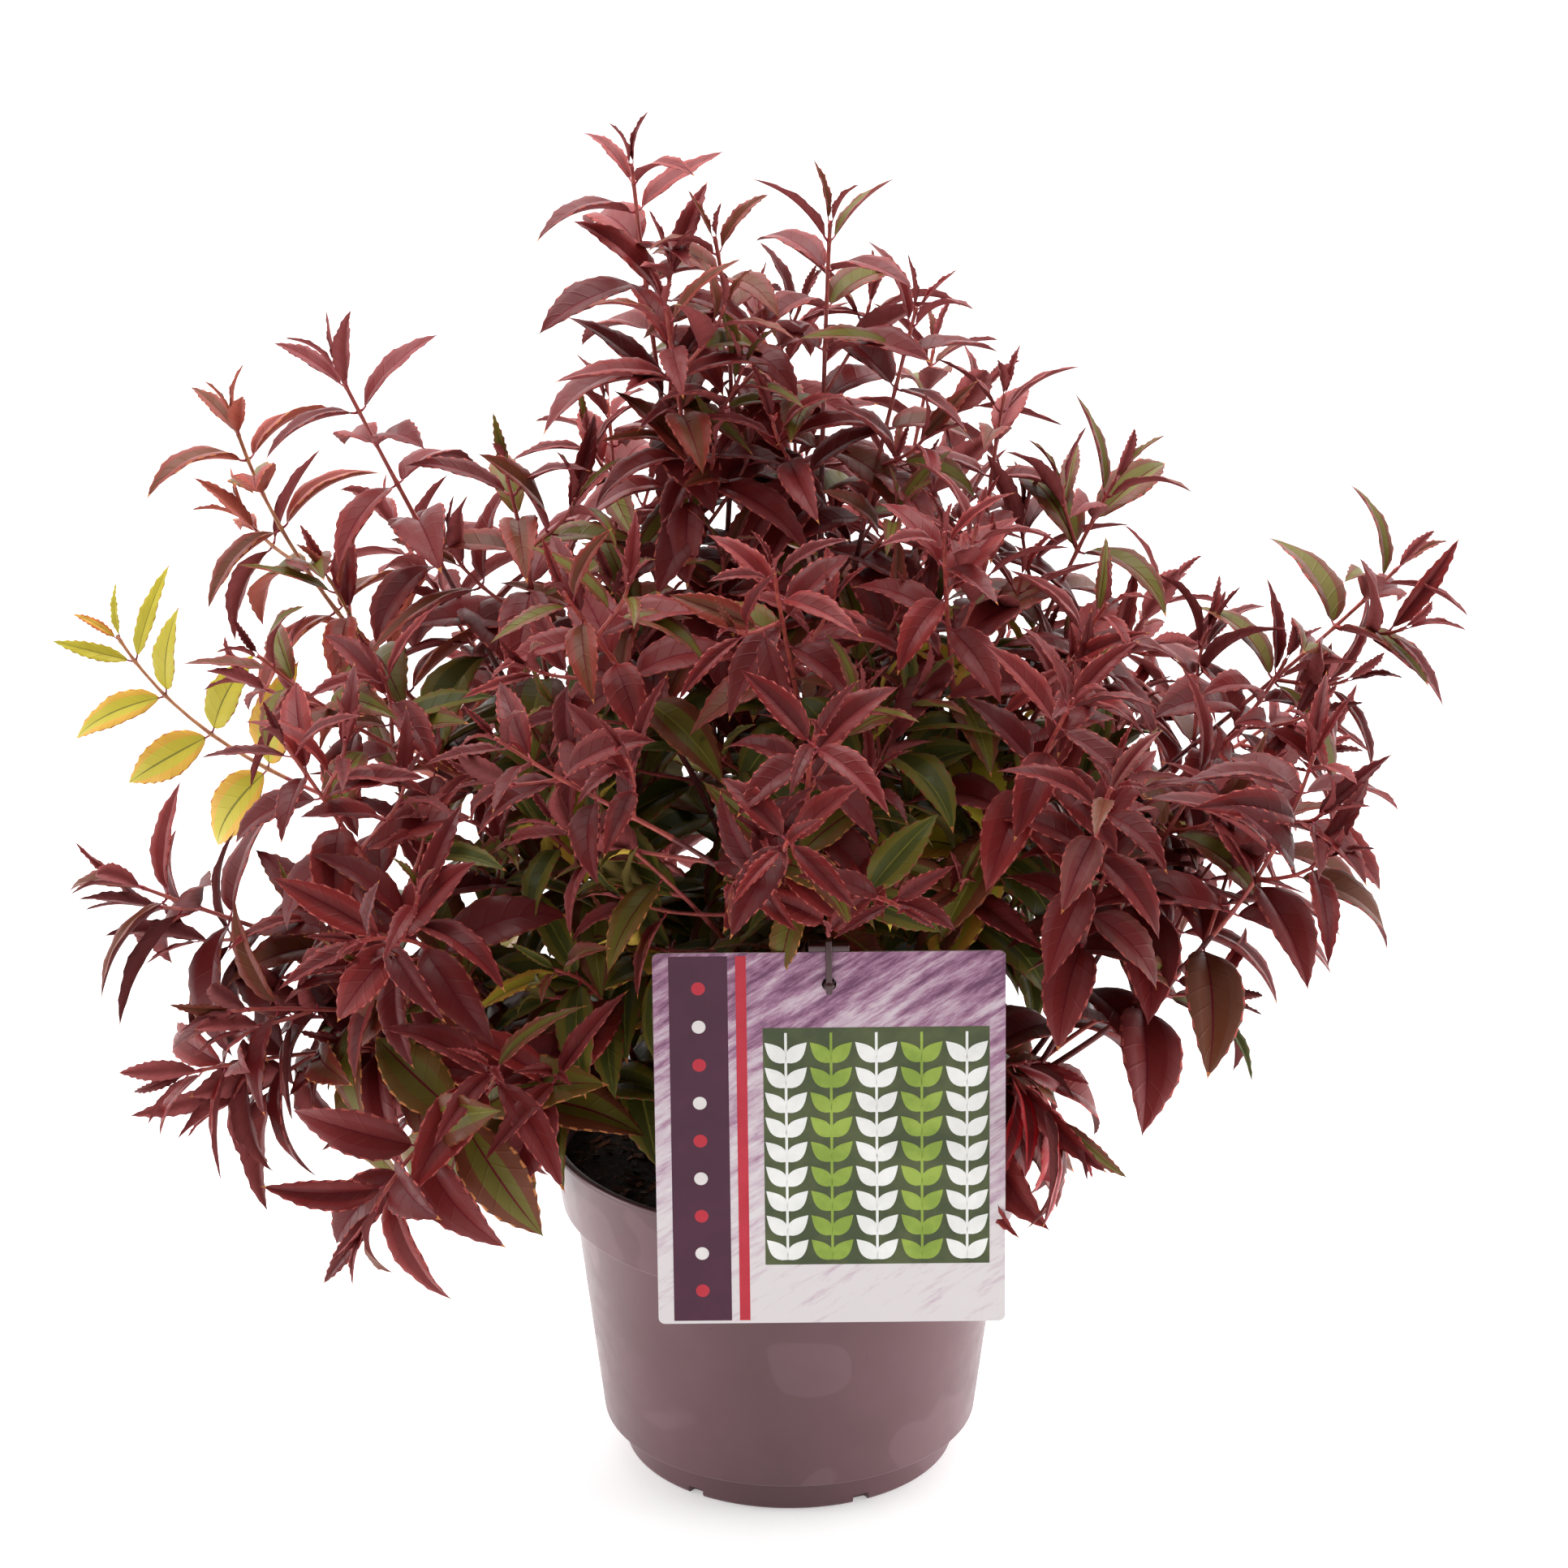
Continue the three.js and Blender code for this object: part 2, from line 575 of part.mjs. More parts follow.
// A leaf is a folded kite: its midrib arches over, its edges stand up and its tip hangs.
// The places are shares of the length along, the half width across and the rise above the base.
const LEAF_PLACES = {
  base: [0, 0, 0],
  tip: [1, 0, LEAF.arch - LEAF.droop],
  left: [LEAF.widest, 1, LEAF.arch],
  right: [LEAF.widest, -1, LEAF.arch],
  valley: [LEAF.valley, 0, LEAF.arch],
  keel: [LEAF.widest, 0, LEAF.arch],
};
const LEAF_FACES = [
  ['base', 'right', 'left'],
  ['left', 'right', 'valley'],
  ['left', 'valley', 'tip'],
  ['valley', 'right', 'tip'],
  ['base', 'left', 'keel'],
  ['base', 'keel', 'right'],
  ['keel', 'left', 'tip'],
  ['keel', 'tip', 'right'],
];
const TEST_PLACES = [
  [0.2, 0, LEAF.arch * 0.5],
  [0.2, 0.5, LEAF.arch * 0.5],
  [0.2, -0.5, LEAF.arch * 0.5],
  LEAF_PLACES.left,
  LEAF_PLACES.right,
  LEAF_PLACES.keel,
  [0.58, 0.7, LEAF.arch * 0.6],
  [0.58, -0.7, LEAF.arch * 0.6],
  [0.7, 0, 0],
  [0.76, 0.4, 0],
  [0.76, -0.4, 0],
  [0.88, 0, -0.04],
  LEAF_PLACES.tip,
];

const OUTER_PLACES = [
  LEAF_PLACES.left,
  LEAF_PLACES.right,
  LEAF_PLACES.keel,
  LEAF_PLACES.valley,
  [0.7, 0.5, 0.03],
  [0.7, -0.5, 0.03],
  [0.76, 0, 0],
  LEAF_PLACES.tip,
];

function leafPoint(leaf, [along, across, rise]) {
  const halfWidth = (leaf.length * LEAF.widthShare) / 2;
  const point = leaf.base.clone().addScaledVector(leaf.along, along * leaf.length + LEAF.start);
  point.addScaledVector(leaf.across, across * halfWidth);
  return point.addScaledVector(leaf.face, rise * leaf.length + Math.abs(across) * halfWidth * LEAF.fold);
}

function leafSolid(leaf) {
  const names = Object.keys(LEAF_PLACES);
  const corners = names.map((name) => leafPoint(leaf, LEAF_PLACES[name]));
  corners[names.indexOf('valley')].addScaledVector(leaf.face, LEAF.thickness / 2);
  corners[names.indexOf('keel')].addScaledVector(leaf.face, -LEAF.thickness / 2);
  const shape = new THREE.BufferGeometry().setFromPoints(corners);
  return toSolid(shape.setIndex(LEAF_FACES.flat().map((name) => names.indexOf(name))));
}

// A leaf stands out from its stem at an angle, sags a little, and turns its face to the sky.
function placeLeaf(base, along, out, angle, length) {
  const heading = along.clone().multiplyScalar(Math.cos(angle)).addScaledVector(out, Math.sin(angle));
  heading.addScaledVector(UP, -LEAF.sag * Math.sin(angle)).normalize();
  const face = along.clone().multiplyScalar(Math.sin(angle)).addScaledVector(out, -Math.cos(angle));
  face.addScaledVector(UP, 0.55);
  face.addScaledVector(heading, -face.dot(heading)).normalize();
  const across = new THREE.Vector3().crossVectors(face, heading);
  return { base, along: heading, face, across, length };
}

// The leaf at its first place, or turned and shortened until it fits, or none.
function fitLeaf(mass, leaves, node, side, base, along, out, angle, length) {
  const third = new THREE.Vector3().crossVectors(along, out);
  for (let trial = 0; trial < 9; trial += 1) {
    const turn = radians(spread(mass.order, node, side, 10 + trial, 10 + trial * 9));
    const lift = radians(spread(mass.order, node, side, 30 + trial, 6 + trial * 4));
    const turned = out.clone().multiplyScalar(Math.cos(turn)).addScaledVector(third, Math.sin(turn));
    const leaf = placeLeaf(base, along, turned, angle * (1 - 0.05 * trial) + lift, length * (1 - 0.045 * trial));
    const points = TEST_PLACES.map((place) => leafPoint(leaf, place));
    if (fits(points, mass) && clearOfLeaves(leaf, leaves)) return leaf;
  }
  return null;
}

// Pairs stand crosswise to the ones above and below them.
function pairOut(frame, quarter) {
  const turn = radians(quarter);
  return frame.side.clone().multiplyScalar(Math.cos(turn)).addScaledVector(frame.lift, Math.sin(turn));
}

function sizeOf(list, pair) {
  return list[Math.min(pair, list.length - 1)];
}

function leafPairs(mass, leaves, stem, firstNode, bareLength, mostPairs) {
  const nodes = [];
  let down = PAIRS.first;
  for (let pair = 0; pair < mostPairs && stem.length - down > bareLength; pair += 1) {
    const share = 1 - down / stem.length;
    const frame = stem.frameAt(share);
    const base = stem.middleAt(share);
    const node = firstNode + pair;
    const out = pairOut(frame, 45 + 90 * pair + spread(mass.order, node, 0, 1, 12));
    for (const side of [1, -1]) {
      const size = sizeOf(PAIRS.sizes, pair) * (1 + spread(mass.order, node, side, 2, 0.1));
      const angle = radians(sizeOf(PAIRS.angles, pair));
      const outward = out.clone().multiplyScalar(side);
      const leaf = fitLeaf(mass, leaves, node, side, base, frame.along, outward, angle, LEAF.length * size);
      if (leaf) leaves.push(leaf);
    }
    nodes.push({ pair, down, frame, base, out });
    down += pair === 0 ? PAIRS.second : Math.min(PAIRS.longestStep, 12 + PAIRS.growth * pair);
  }
  return nodes;
}

// The side twig grows just above a pair of leaves, sideways and then up.
function sideTwig(mass, node) {
  const length = (TWIG.shortest + TWIG.share * node.down) * (1 + spread(mass.order, 100, 0, 3, 0.15));
  const angle = radians(TWIG.angle + spread(mass.order, 100, 0, 4, 8));
  const heading = node.frame.along.clone().multiplyScalar(Math.cos(angle));
  heading.addScaledVector(node.out, Math.sin(angle));
  const base = node.base.clone().addScaledVector(node.frame.along, TWIG.fork);
  const end = base.clone().addScaledVector(heading, length * 0.94).addScaledVector(UP, length * 0.08);
  const turn = node.frame.along.clone().multiplyScalar(0.5).addScaledVector(heading, 0.5).normalize();
  const stem = new Stem(bend(base, heading, end, turn), 0, 1, TWIG.rings);
  return fits(stem.line(4).slice(2), mass) ? stem : null;
}

function growMass(mass) {
  const { stem } = mass;
  const leaves = [];
  const nodes = leafPairs(mass, leaves, stem, 0, stem.length * mass.bare, 40);
  const fork = nodes.find(({ pair }) => pair === TWIG.pair);
  const twig = fork && sideTwig(mass, fork);
  if (twig) leafPairs(mass, leaves, twig, 200, TWIG.inner, 2);
  const stemRadius = (share) => THREE.MathUtils.lerp(STEM.baseRadius, STEM.tipRadius, share);
  let solid = toSolid(bentCylinder(stem, stemRadius, STEM.sides, stem.rings));
  if (twig) solid = solid.add(toSolid(bentCylinder(twig, () => TWIG.radius, STEM.sides, twig.rings)));
  for (const leaf of leaves) solid = solid.add(leafSolid(leaf));
  return largestPiece(solid);
}

// The whole plant

const plant = new THREE.Group();

function addNode(name, solid, colour, roughness) {
  const material = new THREE.MeshStandardMaterial({ color: COLOURS[colour], roughness, metalness: 0 });
  const mesh = new THREE.Mesh(toGeometry(solid), material);
  mesh.name = name;
  plant.add(mesh);
  return mesh;
}

addNode('pot', buildPot(), 'pot', 0.35);
addNode('soil', buildSoil().subtract(toSolid(stakeShape(GAP))), 'soil', 0.95);
const card = addNode('tag_card', buildCard(), 'card', 0.4);
card.applyMatrix4(CARD_FRAME);
addNode('tag_holder', buildHolder(), 'holder', 0.35);
for (const cane of CANES) addNode(`cane_${cane.name}`, buildCane(cane), 'bark', 0.7);
for (const mass of masses) {
  addNode(`mass_${mass.name}`, growMass(mass), SPECIAL_COLOURS[mass.name] ?? 'wine', 0.5);
}

export default plant;
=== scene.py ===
from math import atan2, copysign, cos, floor, pi, radians, sin, sqrt, tan

import bmesh
import bpy
import numpy as np
from mathutils import Matrix, Vector


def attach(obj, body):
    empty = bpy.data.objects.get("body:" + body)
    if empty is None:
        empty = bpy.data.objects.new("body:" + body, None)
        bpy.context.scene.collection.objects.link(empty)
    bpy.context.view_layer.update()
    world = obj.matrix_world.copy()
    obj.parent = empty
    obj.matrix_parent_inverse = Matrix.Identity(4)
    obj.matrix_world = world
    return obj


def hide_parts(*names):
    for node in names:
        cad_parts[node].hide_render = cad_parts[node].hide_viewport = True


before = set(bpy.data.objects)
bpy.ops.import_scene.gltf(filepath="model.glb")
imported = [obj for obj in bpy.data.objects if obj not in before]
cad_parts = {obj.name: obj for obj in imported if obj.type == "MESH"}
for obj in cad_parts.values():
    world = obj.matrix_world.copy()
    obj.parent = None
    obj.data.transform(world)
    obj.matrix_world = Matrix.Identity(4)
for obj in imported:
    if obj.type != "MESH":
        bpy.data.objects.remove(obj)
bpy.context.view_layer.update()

MM = 0.001
UP = np.array([0.0, 0.0, 1.0])

# A whole turn, rounded, for random bearings and phases
ROUGH_TURN = 6.28

# Driving dimensions of the pot, its soil, the tag and its holder
POT = {
    "height": 138, "rim": 95, "lip_width": 2.8, "lip_height": 2.6, "collar_height": 31, "collar_foot": 90,
    "ledge_drop": 1.6, "wall_top": 85, "wall_foot": 74, "foot_height": 15, "foot": 65.5, "foot_edge": 1.2,
    "wall": 1.6, "base": 2.4, "inner_foot": 57, "inner_foot_height": 7, "sides": 192, "corner": 0.9,
}
NOTCH = {
    "count": 6, "first_bearing": -4.5, "width": 7, "height": 3.5, "inner_radius": 61, "depth": 20,
    "edge": 0.8,
}
SOIL_TOP = 122
SOIL_FLAT = 66
SOIL_EDGE_DROP = 2.5
SOIL_GAP = 0.4
SOIL_SIDES, SOIL_RINGS = 160, 44
CARD = {"width": 132, "height": 150, "thickness": 0.8, "corner": 2.5, "hole_down": 12.7, "hole_radius": 2.75}
CARD_PLACE = {"across": 14.5, "lean": 4, "roll": 0.6, "top": 250}
HOLDER = {
    "bar_width": 15.6, "bar_height": 2.9, "bar_behind": 4.6, "bar_front": 1, "stake_width": 4.4,
    "stake_depth": 2.6, "stake_bury": 32, "stake_lean": 5, "hook_width": 2.4, "hook_depth": 2,
    "hook_rise": 5.4, "hook_drop": 16, "knob_radius": 2.1, "edge_share": 0.22,
}
GAP = 0.3
LEDGE = POT["height"] - POT["collar_height"]

# Canes: name, foot (distance, bearing), end of the shoot, slope at the foot and at the end, bare share
CANES = [
    ("top_left", (8, 162), (-59, 20, 523), 84, 84, 0.45),
    ("top_right", (9, -30), (15, 10, 504), 84, 84, 0.45),
    ("upper_right", (27, -5), (123, 0, 406), 70, 62, 0.45),
    ("upper_left", (22, 175), (-172, 30, 440), 70, 64, 0.45),
    ("left", (34, 195), (-254, -20, 249), 52, 24, 0.4),
    ("right_arch", (32, -35), (192, -96, 333), 38, 76, 0.35),
    ("front", (25, -85), (9, -150, 362), 72, 30, 0.5),
    ("back", (18, 85), (58, 156, 407), 76, 60, 0.45),
    ("back_left", (27, 122), (-165, 180, 327), 62, 42, 0.4),
]
CANE_SHOOT_BARE = 0.04

# Side shoots: name, cane, place on its limb, end, slope at the end, bare share
SIDE_SHOOTS = [
    ("far_left", "upper_left", 0.45, (-215, 60, 410), 74, 0.2),
    ("right_high", "upper_right", 0.4, (233, 20, 363), 46, 0.15),
    ("back_right", "back", 0.4, (156, 172, 297), 38, 0.15),
    ("top_left_side", "top_left", 0.8, (-28, 6, 499), 76, 0.1),
    ("top_left_front", "top_left", 0.85, (-46, -26, 482), 74, 0.1),
    ("middle_left", "top_left", 0.65, (-82, -98, 397), 50, 0.15),
    ("top_right_side", "top_right", 0.85, (47, -8, 476), 76, 0.1),
    ("middle_front", "top_right", 0.7, (-6, -106, 409), 56, 0.15),
    ("middle_right", "upper_right", 0.85, (56, -84, 415), 66, 0.15),
    ("upper_right_side", "upper_right", 0.8, (81, 14, 435), 78, 0.1),
    ("upper_right_front", "upper_right", 0.72, (117, -62, 379), 54, 0.15),
    ("upper_left_side", "upper_left", 0.9, (-106, -12, 411), 74, 0.1),
    ("left_front_high", "upper_left", 0.7, (-199, -40, 350), 48, 0.15),
    ("left_front", "left", 0.85, (-185, -98, 338), 56, 0.12),
    ("left_front_low", "left", 0.7, (-158, -130, 273), 14, 0.2),
    ("left_low", "left", 0.45, (-232, -48, 181), -8, 0.1),
    ("left_hanging", "left", 0.2, (-155, -150, 170), -44, 0.2),
    ("left_rim", "left", 0.1, (-88, -80, 239), 26, 0.1),
    ("left_yellow", "back_left", 0.5, (-270, 112, 300), 58, 0.6),
    ("front_left", "front", 0.85, (-106, -130, 353), 42, 0.12),
    ("front_low", "front", 0.94, (-2, -165, 324), 8, 0.15),
    ("front_low_right", "front", 0.88, (40, -150, 295), 8, 0.15),
    ("front_right", "upper_right", 0.55, (102, -122, 365), 54, 0.15),
    ("right_front", "right_arch", 0.9, (115, -146, 340), 46, 0.12),
    ("right_inner", "upper_right", 0.6, (190, 6, 331), 66, 0.1),
    ("right_middle", "right_arch", 0.7, (158, -50, 311), 60, 0.15),
    ("right_low", "right_arch", 0.5, (161, -70, 223), -4, 0.2),
    ("right_rim", "right_arch", 0.3, (89, -84, 189), -44, 0.2),
    ("right_back", "back", 0.3, (206, 92, 281), 36, 0.25),
    ("back_top", "back", 0.9, (-12, 84, 443), 76, 0.1),
    ("back_top_left", "back_left", 0.85, (-72, 108, 401), 66, 0.15),
    ("back_middle", "back", 0.6, (0, 220, 309), 20, 0.15),
    ("back_low_right", "back", 0.16, (120, 195, 210), -6, 0.2),
    ("back_low_left", "back_left", 0.25, (-92, 205, 217), -4, 0.2),
    ("inner_left", "upper_left", 0.3, (-96, -48, 285), 40, 0.1),
    ("inner_front_left", "front", 0.45, (-58, -84, 289), 46, 0.1),
    ("left_under", "left", 0.6, (-212, -64, 215), 6, 0.1),
    ("centre", "front", 0.62, (47, -70, 348), 62, 0.1),
]

# How a shoot is dressed: size of its leaves, distance between their pairs, how far leaves and twigs hang,
# first pair with a side twig, colour family, share of bronze young leaves, length after which the leaves
# turn olive and brown, dusky older leaves, golden stems, and flat leaves that stand in one plane
COMMON_HABIT = {
    "size": 1.0, "apart": 1.0, "hang": 0, "twigs_from": 3, "family": None, "bronze": 0.03, "turning": 999,
    "dusky": False, "golden": False, "flat": False,
}

# Shoots that depart from the common habit; a bare share here is larger than the one of their solids
HABITS = {
    "top_left": {"size": 1.12, "twigs_from": 5, "bronze": 0.3},
    "top_right": {"size": 1.12, "twigs_from": 5},
    "upper_right": {"size": 1.2},
    "upper_left": {"size": 1.08, "twigs_from": 9},
    "left": {"size": 1.18, "apart": 0.85},
    "right_arch": {"size": 1.22, "apart": 0.9, "bare": 0.28, "dusky": True},
    "front": {"size": 0.94, "twigs_from": 5},
    "back_left": {"twigs_from": 7},
    "far_left": {"size": 1.06, "twigs_from": 5, "family": "rust", "golden": True},
    "right_high": {"size": 1.2},
    "top_left_side": {"twigs_from": 5, "bronze": 0.3},
    "top_left_front": {"bronze": 0.5},
    "middle_left": {"bronze": 0.3},
    "top_right_side": {"twigs_from": 5, "bronze": 0.3},
    "middle_front": {"size": 0.94, "bronze": 0.2},
    "upper_right_side": {"twigs_from": 5, "bronze": 0.2},
    "upper_left_side": {"size": 1.2, "bronze": 0.4},
    "left_front_low": {"size": 1.1},
    "left_low": {"size": 1.18, "apart": 0.82, "hang": 0.35, "family": "wine", "turning": 45},
    "left_hanging": {
        "size": 1.22, "apart": 0.7, "bare": 0.3, "hang": 0.15, "twigs_from": 7, "family": "wine",
        "turning": 45,
    },
    "left_rim": {"size": 1.2, "family": "olive"},
    "left_yellow": {
        "size": 1.1, "apart": 1.6, "twigs_from": 99, "family": "gold", "golden": True, "flat": True,
    },
    "front_low": {"size": 0.94, "twigs_from": 5, "turning": 38},
    "front_low_right": {"size": 0.94, "twigs_from": 5, "turning": 22},
    "right_front": {"size": 0.98, "bare": 0.42, "dusky": True},
    "right_middle": {"size": 1.15, "dusky": True},
    "right_low": {"size": 1.12, "bare": 0.5, "twigs_from": 99, "family": "shade", "dusky": True},
    "right_rim": {"size": 1.28, "apart": 0.7, "hang": 0.9, "twigs_from": 1, "family": "crimson"},
    "inner_left": {"size": 1.2, "family": "olive"},
    "inner_front_left": {"size": 1.2, "family": "olive", "turning": 0},
    "left_under": {"size": 1.15, "turning": 45},
    "centre": {"size": 1.15, "family": "olive"},
}

CANE = {
    "foot_radius": 3, "tip_radius": 1.5, "flare": 1.7, "flare_length": 6, "sides": 12, "ring_step": 2.5,
    "buried": 4.0, "first_node": 14, "node_step": 19.0, "node_height": 0.42, "node_width": 1.5,
}
STEM = {
    "base_radius": 1.45, "tip_radius": 0.65, "sides": 6, "ring_step": 9, "young": 90, "most_pairs": 40,
    "node_height": 0.32, "node_width": 1.3,
}
TWIG = {
    "base_radius": 0.95, "tip_radius": 0.55, "sides": 5, "ring_step": 8, "shortest": 18, "share": 0.3,
    "longest": 62, "angle": 46, "bare": 0.3, "most_pairs": 6,
}
NODE_RINGS = (-1.4, 0, 1.4)
LEAST_RING_STEP = 0.35
LEAF = {
    "length": 38.5, "width_share": 0.43, "rows": 21, "petiole": 3, "tooth": 0.32, "apart": 3.1,
    "from_limb": 2.5, "trials": 7, "shortening": 0.04,
}

# The older leaves on the bare limbs: distance of the first from the limb's end, step, and share without any
LIMB_LEAF = {
    "first": 8.0, "step": 15, "bare": 0.22, "size": 1.25, "angle": 66, "pair": 8, "node": 900, "down": 200,
}

# For each pair of leaves: distance from the pair above it, angle to the stem, size, and share of full width
PAIR_STEPS = [2, 6, 11, 14.5, 16, 17.5, 19, 20, 21, 22, 22]
PAIR_ANGLES = [20, 49, 66, 74, 79, 82, 84]
PAIR_SIZES = [0.5, 0.86, 1.0, 1.03, 1.05, 1.08, 1.12, 1.15, 1.18]
PAIR_WIDTHS = [0.52, 0.6, 0.82, 1]
YOUNG_PAIRS = 5
OLD_PAIR = 9

# Bends of a leaf in degrees: of an old leaf, of the youngest, and how far they spread
BENDS = {
    "fold": (46, 74, 12), "pitch": (12, 12, 10), "droop": (46, 30, 22), "twist": (0, 0, 28),
    "sway": (0, 0, 12),
}

# What a random number is drawn for: the last of its keys
USE = {
    "bearing": 1, "size": 2, "twig_length": 3, "twig_angle": 4, "step": 5, "angle": 6, "twig_side": 7,
    "turn": 10, "lift": 30, "bend": 51, "phase": 56, "width": 57, "family": 61, "spray": 62,
    "spray_colour": 63, "colour": 64, "shade": 65,
}

# Openings in the front of the crown, through which stems and soil show: place, half width and half height
OPENINGS = [
    ((-40, -20, 258), 15, 34),
    ((-71, 10, 126), 13, 15),
]

# How far the photo's camera looks down, in degrees, and the rise of its view of the card
VIEW_DOWN = 22.4
CARD_SLOPE = 0.41

# How far leaves stay, in millimetres, from the pot, the floor, the soil, the card, its bar and its stake
CLEAR = {
    "wall": 1.5, "under_collar": 4, "floor": 2, "inside": 7, "soil": 4, "card_side": 2, "card_top": 3,
    "card_face": 2.5, "in_front": 1, "bar": 8, "stake": 5,
}

# Where the faces of the leaves turn
LIGHT = UP * 0.75
FLAT_LIGHT = np.array([0.0, -2.0, 0.8])

# Blades: colour as seen, from 0 to 255, and the name of the colour beside the midrib
BLADES = {
    "wine_deep": ((90, 21, 22), "wine_deep"), "wine": ((106, 27, 27), "wine_deep"),
    "wine_red": ((120, 34, 32), "wine"), "mauve": ((110, 39, 40), "wine"),
    "wine_brown": ((106, 40, 28), "olive_red"), "plum": ((88, 26, 29), "wine_deep"),
    "rust": ((140, 50, 38), "copper"), "copper": ((118, 44, 32), "olive_red"),
    "orange": ((196, 112, 58), "gold"), "gold": ((204, 158, 60), "lime"), "lime": ((184, 170, 54), "lime"),
    "olive": ((96, 87, 28), "olive_dark"), "olive_dark": ((70, 73, 26), "olive_dark"),
    "olive_red": ((98, 50, 28), "olive"), "bronze": ((104, 76, 30), "olive"),
    "crimson": ((148, 11, 20), "crimson_dark"), "crimson_dark": ((100, 7, 14), "crimson_dark"),
    "dusky": ((114, 58, 54), "mauve"), "umber": ((100, 58, 42), "olive_red"),
}
COLOURS = {
    "blade": {name: colour for name, (colour, _) in BLADES.items()},
    # The undersides are paler than the blades: partly their own colour, partly painted light that stands for
    # light shining through the leaves
    "under": {
        "rose": (138, 66, 66), "dusk": (110, 54, 54), "coral": (164, 82, 66), "moss": (96, 82, 40),
        "straw": (196, 164, 70),
    },
    "edge": {"pink": (164, 78, 72), "tan": (178, 112, 66), "brown": (128, 68, 46)},
    # The red rib is darker than the blades: partly its own red, partly painted shade in the channel of the
    # fold
    "rib": {"red": (96, 20, 30), "green": (122, 118, 52)},
}


def chance(shoot, node, side, use):
    """A number from 0 to 1 that depends only on its keys."""
    wave = sin(shoot * 12.9898 + node * 78.233 + side * 37.719 + use * 4.581) * 43758.5453
    return wave - floor(wave)


def spread(shoot, node, side, use, reach):
    return (chance(shoot, node, side, use) * 2 - 1) * reach


def mix(low, high, share):
    return low + (high - low) * share


def item(values, place):
    """The value at a place, or the last one beyond the end."""
    return values[min(place, len(values) - 1)]


def unit(vector):
    return vector / np.linalg.norm(vector)


def slope(bearing, rise):
    level = cos(rise)
    return np.array([level * cos(bearing), level * sin(bearing), sin(rise)])


def bearing_of(start, end):
    return atan2(end[1] - start[1], end[0] - start[0])


def turns_round(sides):
    return np.arange(sides) / sides * 2 * pi


# Meshes

class Shape:
    """Points in millimetres, and faces with the place of their material in the piece's list."""

    def __init__(self):
        self.points = []
        self.faces = []
        self.materials = []
        self.leaf_places = []
        self.count = 0

    def add(self, points, *groups, leaf_places=None):
        """Adds points, and groups of faces on them, each with one material or one for every face."""
        points = np.asarray(points, float).reshape(-1, 3)
        for faces, materials in groups:
            self.faces.append(np.asarray(faces, int) + self.count)
            self.materials.append(np.broadcast_to(materials, len(faces)))
        self.points.append(points)
        self.leaf_places.append(np.zeros((len(points), 2)) if leaf_places is None else leaf_places)
        self.count += len(points)


def add_object(name, data):
    thing = bpy.data.objects.new(name, data)
    bpy.context.scene.collection.objects.link(thing)
    return thing


def make_object(name, shape, materials, smooth=True, matrix=None):
    points = np.concatenate(shape.points) * MM
    corners = np.concatenate([faces.ravel() for faces in shape.faces])
    sizes = np.concatenate([np.full(len(faces), faces.shape[1]) for faces in shape.faces])
    starts = np.concatenate([[0], np.cumsum(sizes)[:-1]])
    mesh = bpy.data.meshes.new(name)
    mesh.vertices.add(len(points))
    mesh.vertices.foreach_set("co", points.astype(np.float32).ravel())
    mesh.loops.add(len(corners))
    mesh.loops.foreach_set("vertex_index", corners.astype(np.int32))
    mesh.polygons.add(len(sizes))
    mesh.polygons.foreach_set("loop_start", starts.astype(np.int32))
    mesh.polygons.foreach_set("loop_total", sizes.astype(np.int32))
    mesh.polygons.foreach_set("material_index", np.concatenate(shape.materials).astype(np.int32))
    mesh.polygons.foreach_set("use_smooth", np.full(len(sizes), smooth))
    mesh.update(calc_edges=True)
    leaf_places = np.concatenate(shape.leaf_places)
    if leaf_places.any():
        layer = mesh.uv_layers.new(name="leaf")
        layer.data.foreach_set("uv", leaf_places[corners].astype(np.float32).ravel())
    for material in materials:
        mesh.materials.append(material)
    if matrix is not None:
        mesh.transform(matrix)
    return add_object(name, mesh)


def ring_faces(rings, sides):
    """Quads between rings of points, ring by ring."""
    ring = np.arange(rings - 1)[:, None] * sides
    side = np.arange(sides)[None, :]
    following = (side + 1) % sides
    quads = np.stack([ring + side, ring + following, ring + sides + following, ring + sides + side], -1)
    return quads.reshape(-1, 4)


def add_tube(shape, centres, side_vectors, lifts, radii, sides, materials):
    """A closed tube; radii holds one radius for each ring or one for each point of each ring."""
    turns = turns_round(sides)[None, :, None]
    radii = np.asarray(radii, float)
    radii = radii[:, None] if radii.ndim == 1 else radii
    around = side_vectors[:, None] * np.cos(turns) + lifts[:, None] * np.sin(turns)
    rings = len(centres)
    ring_materials = np.broadcast_to(materials, (rings - 1,))
    start_cap = np.arange(sides)[::-1][None, :]
    end_cap = (np.arange(sides) + (rings - 1) * sides)[None, :]
    shape.add(
        centres[:, None] + around * radii[..., None],
        (ring_faces(rings, sides), np.repeat(ring_materials, sides)),
        (start_cap, ring_materials[0]),
        (end_cap, ring_materials[-1]),
    )


def add_block(editor, size, matrix, edge):
    """A block with rounded edges: size and edge in millimetres, matrix in metres."""
    scale = Matrix.Diagonal((size[0] * MM, size[1] * MM, size[2] * MM, 1))
    made = bmesh.ops.create_cube(editor, size=1, matrix=matrix @ scale)
    rims = {line for corner in made["verts"] for line in corner.link_edges}
    bmesh.ops.bevel(editor, geom=list(rims), offset=edge * MM, segments=3, affect="EDGES", profile=0.5)


def object_of(name, editor):
    mesh = bpy.data.meshes.new(name)
    editor.to_mesh(mesh)
    editor.free()
    return add_object(name, mesh)


def shade_smooth(mesh):
    mesh.polygons.foreach_set("use_smooth", np.ones(len(mesh.polygons), bool))


# Stems

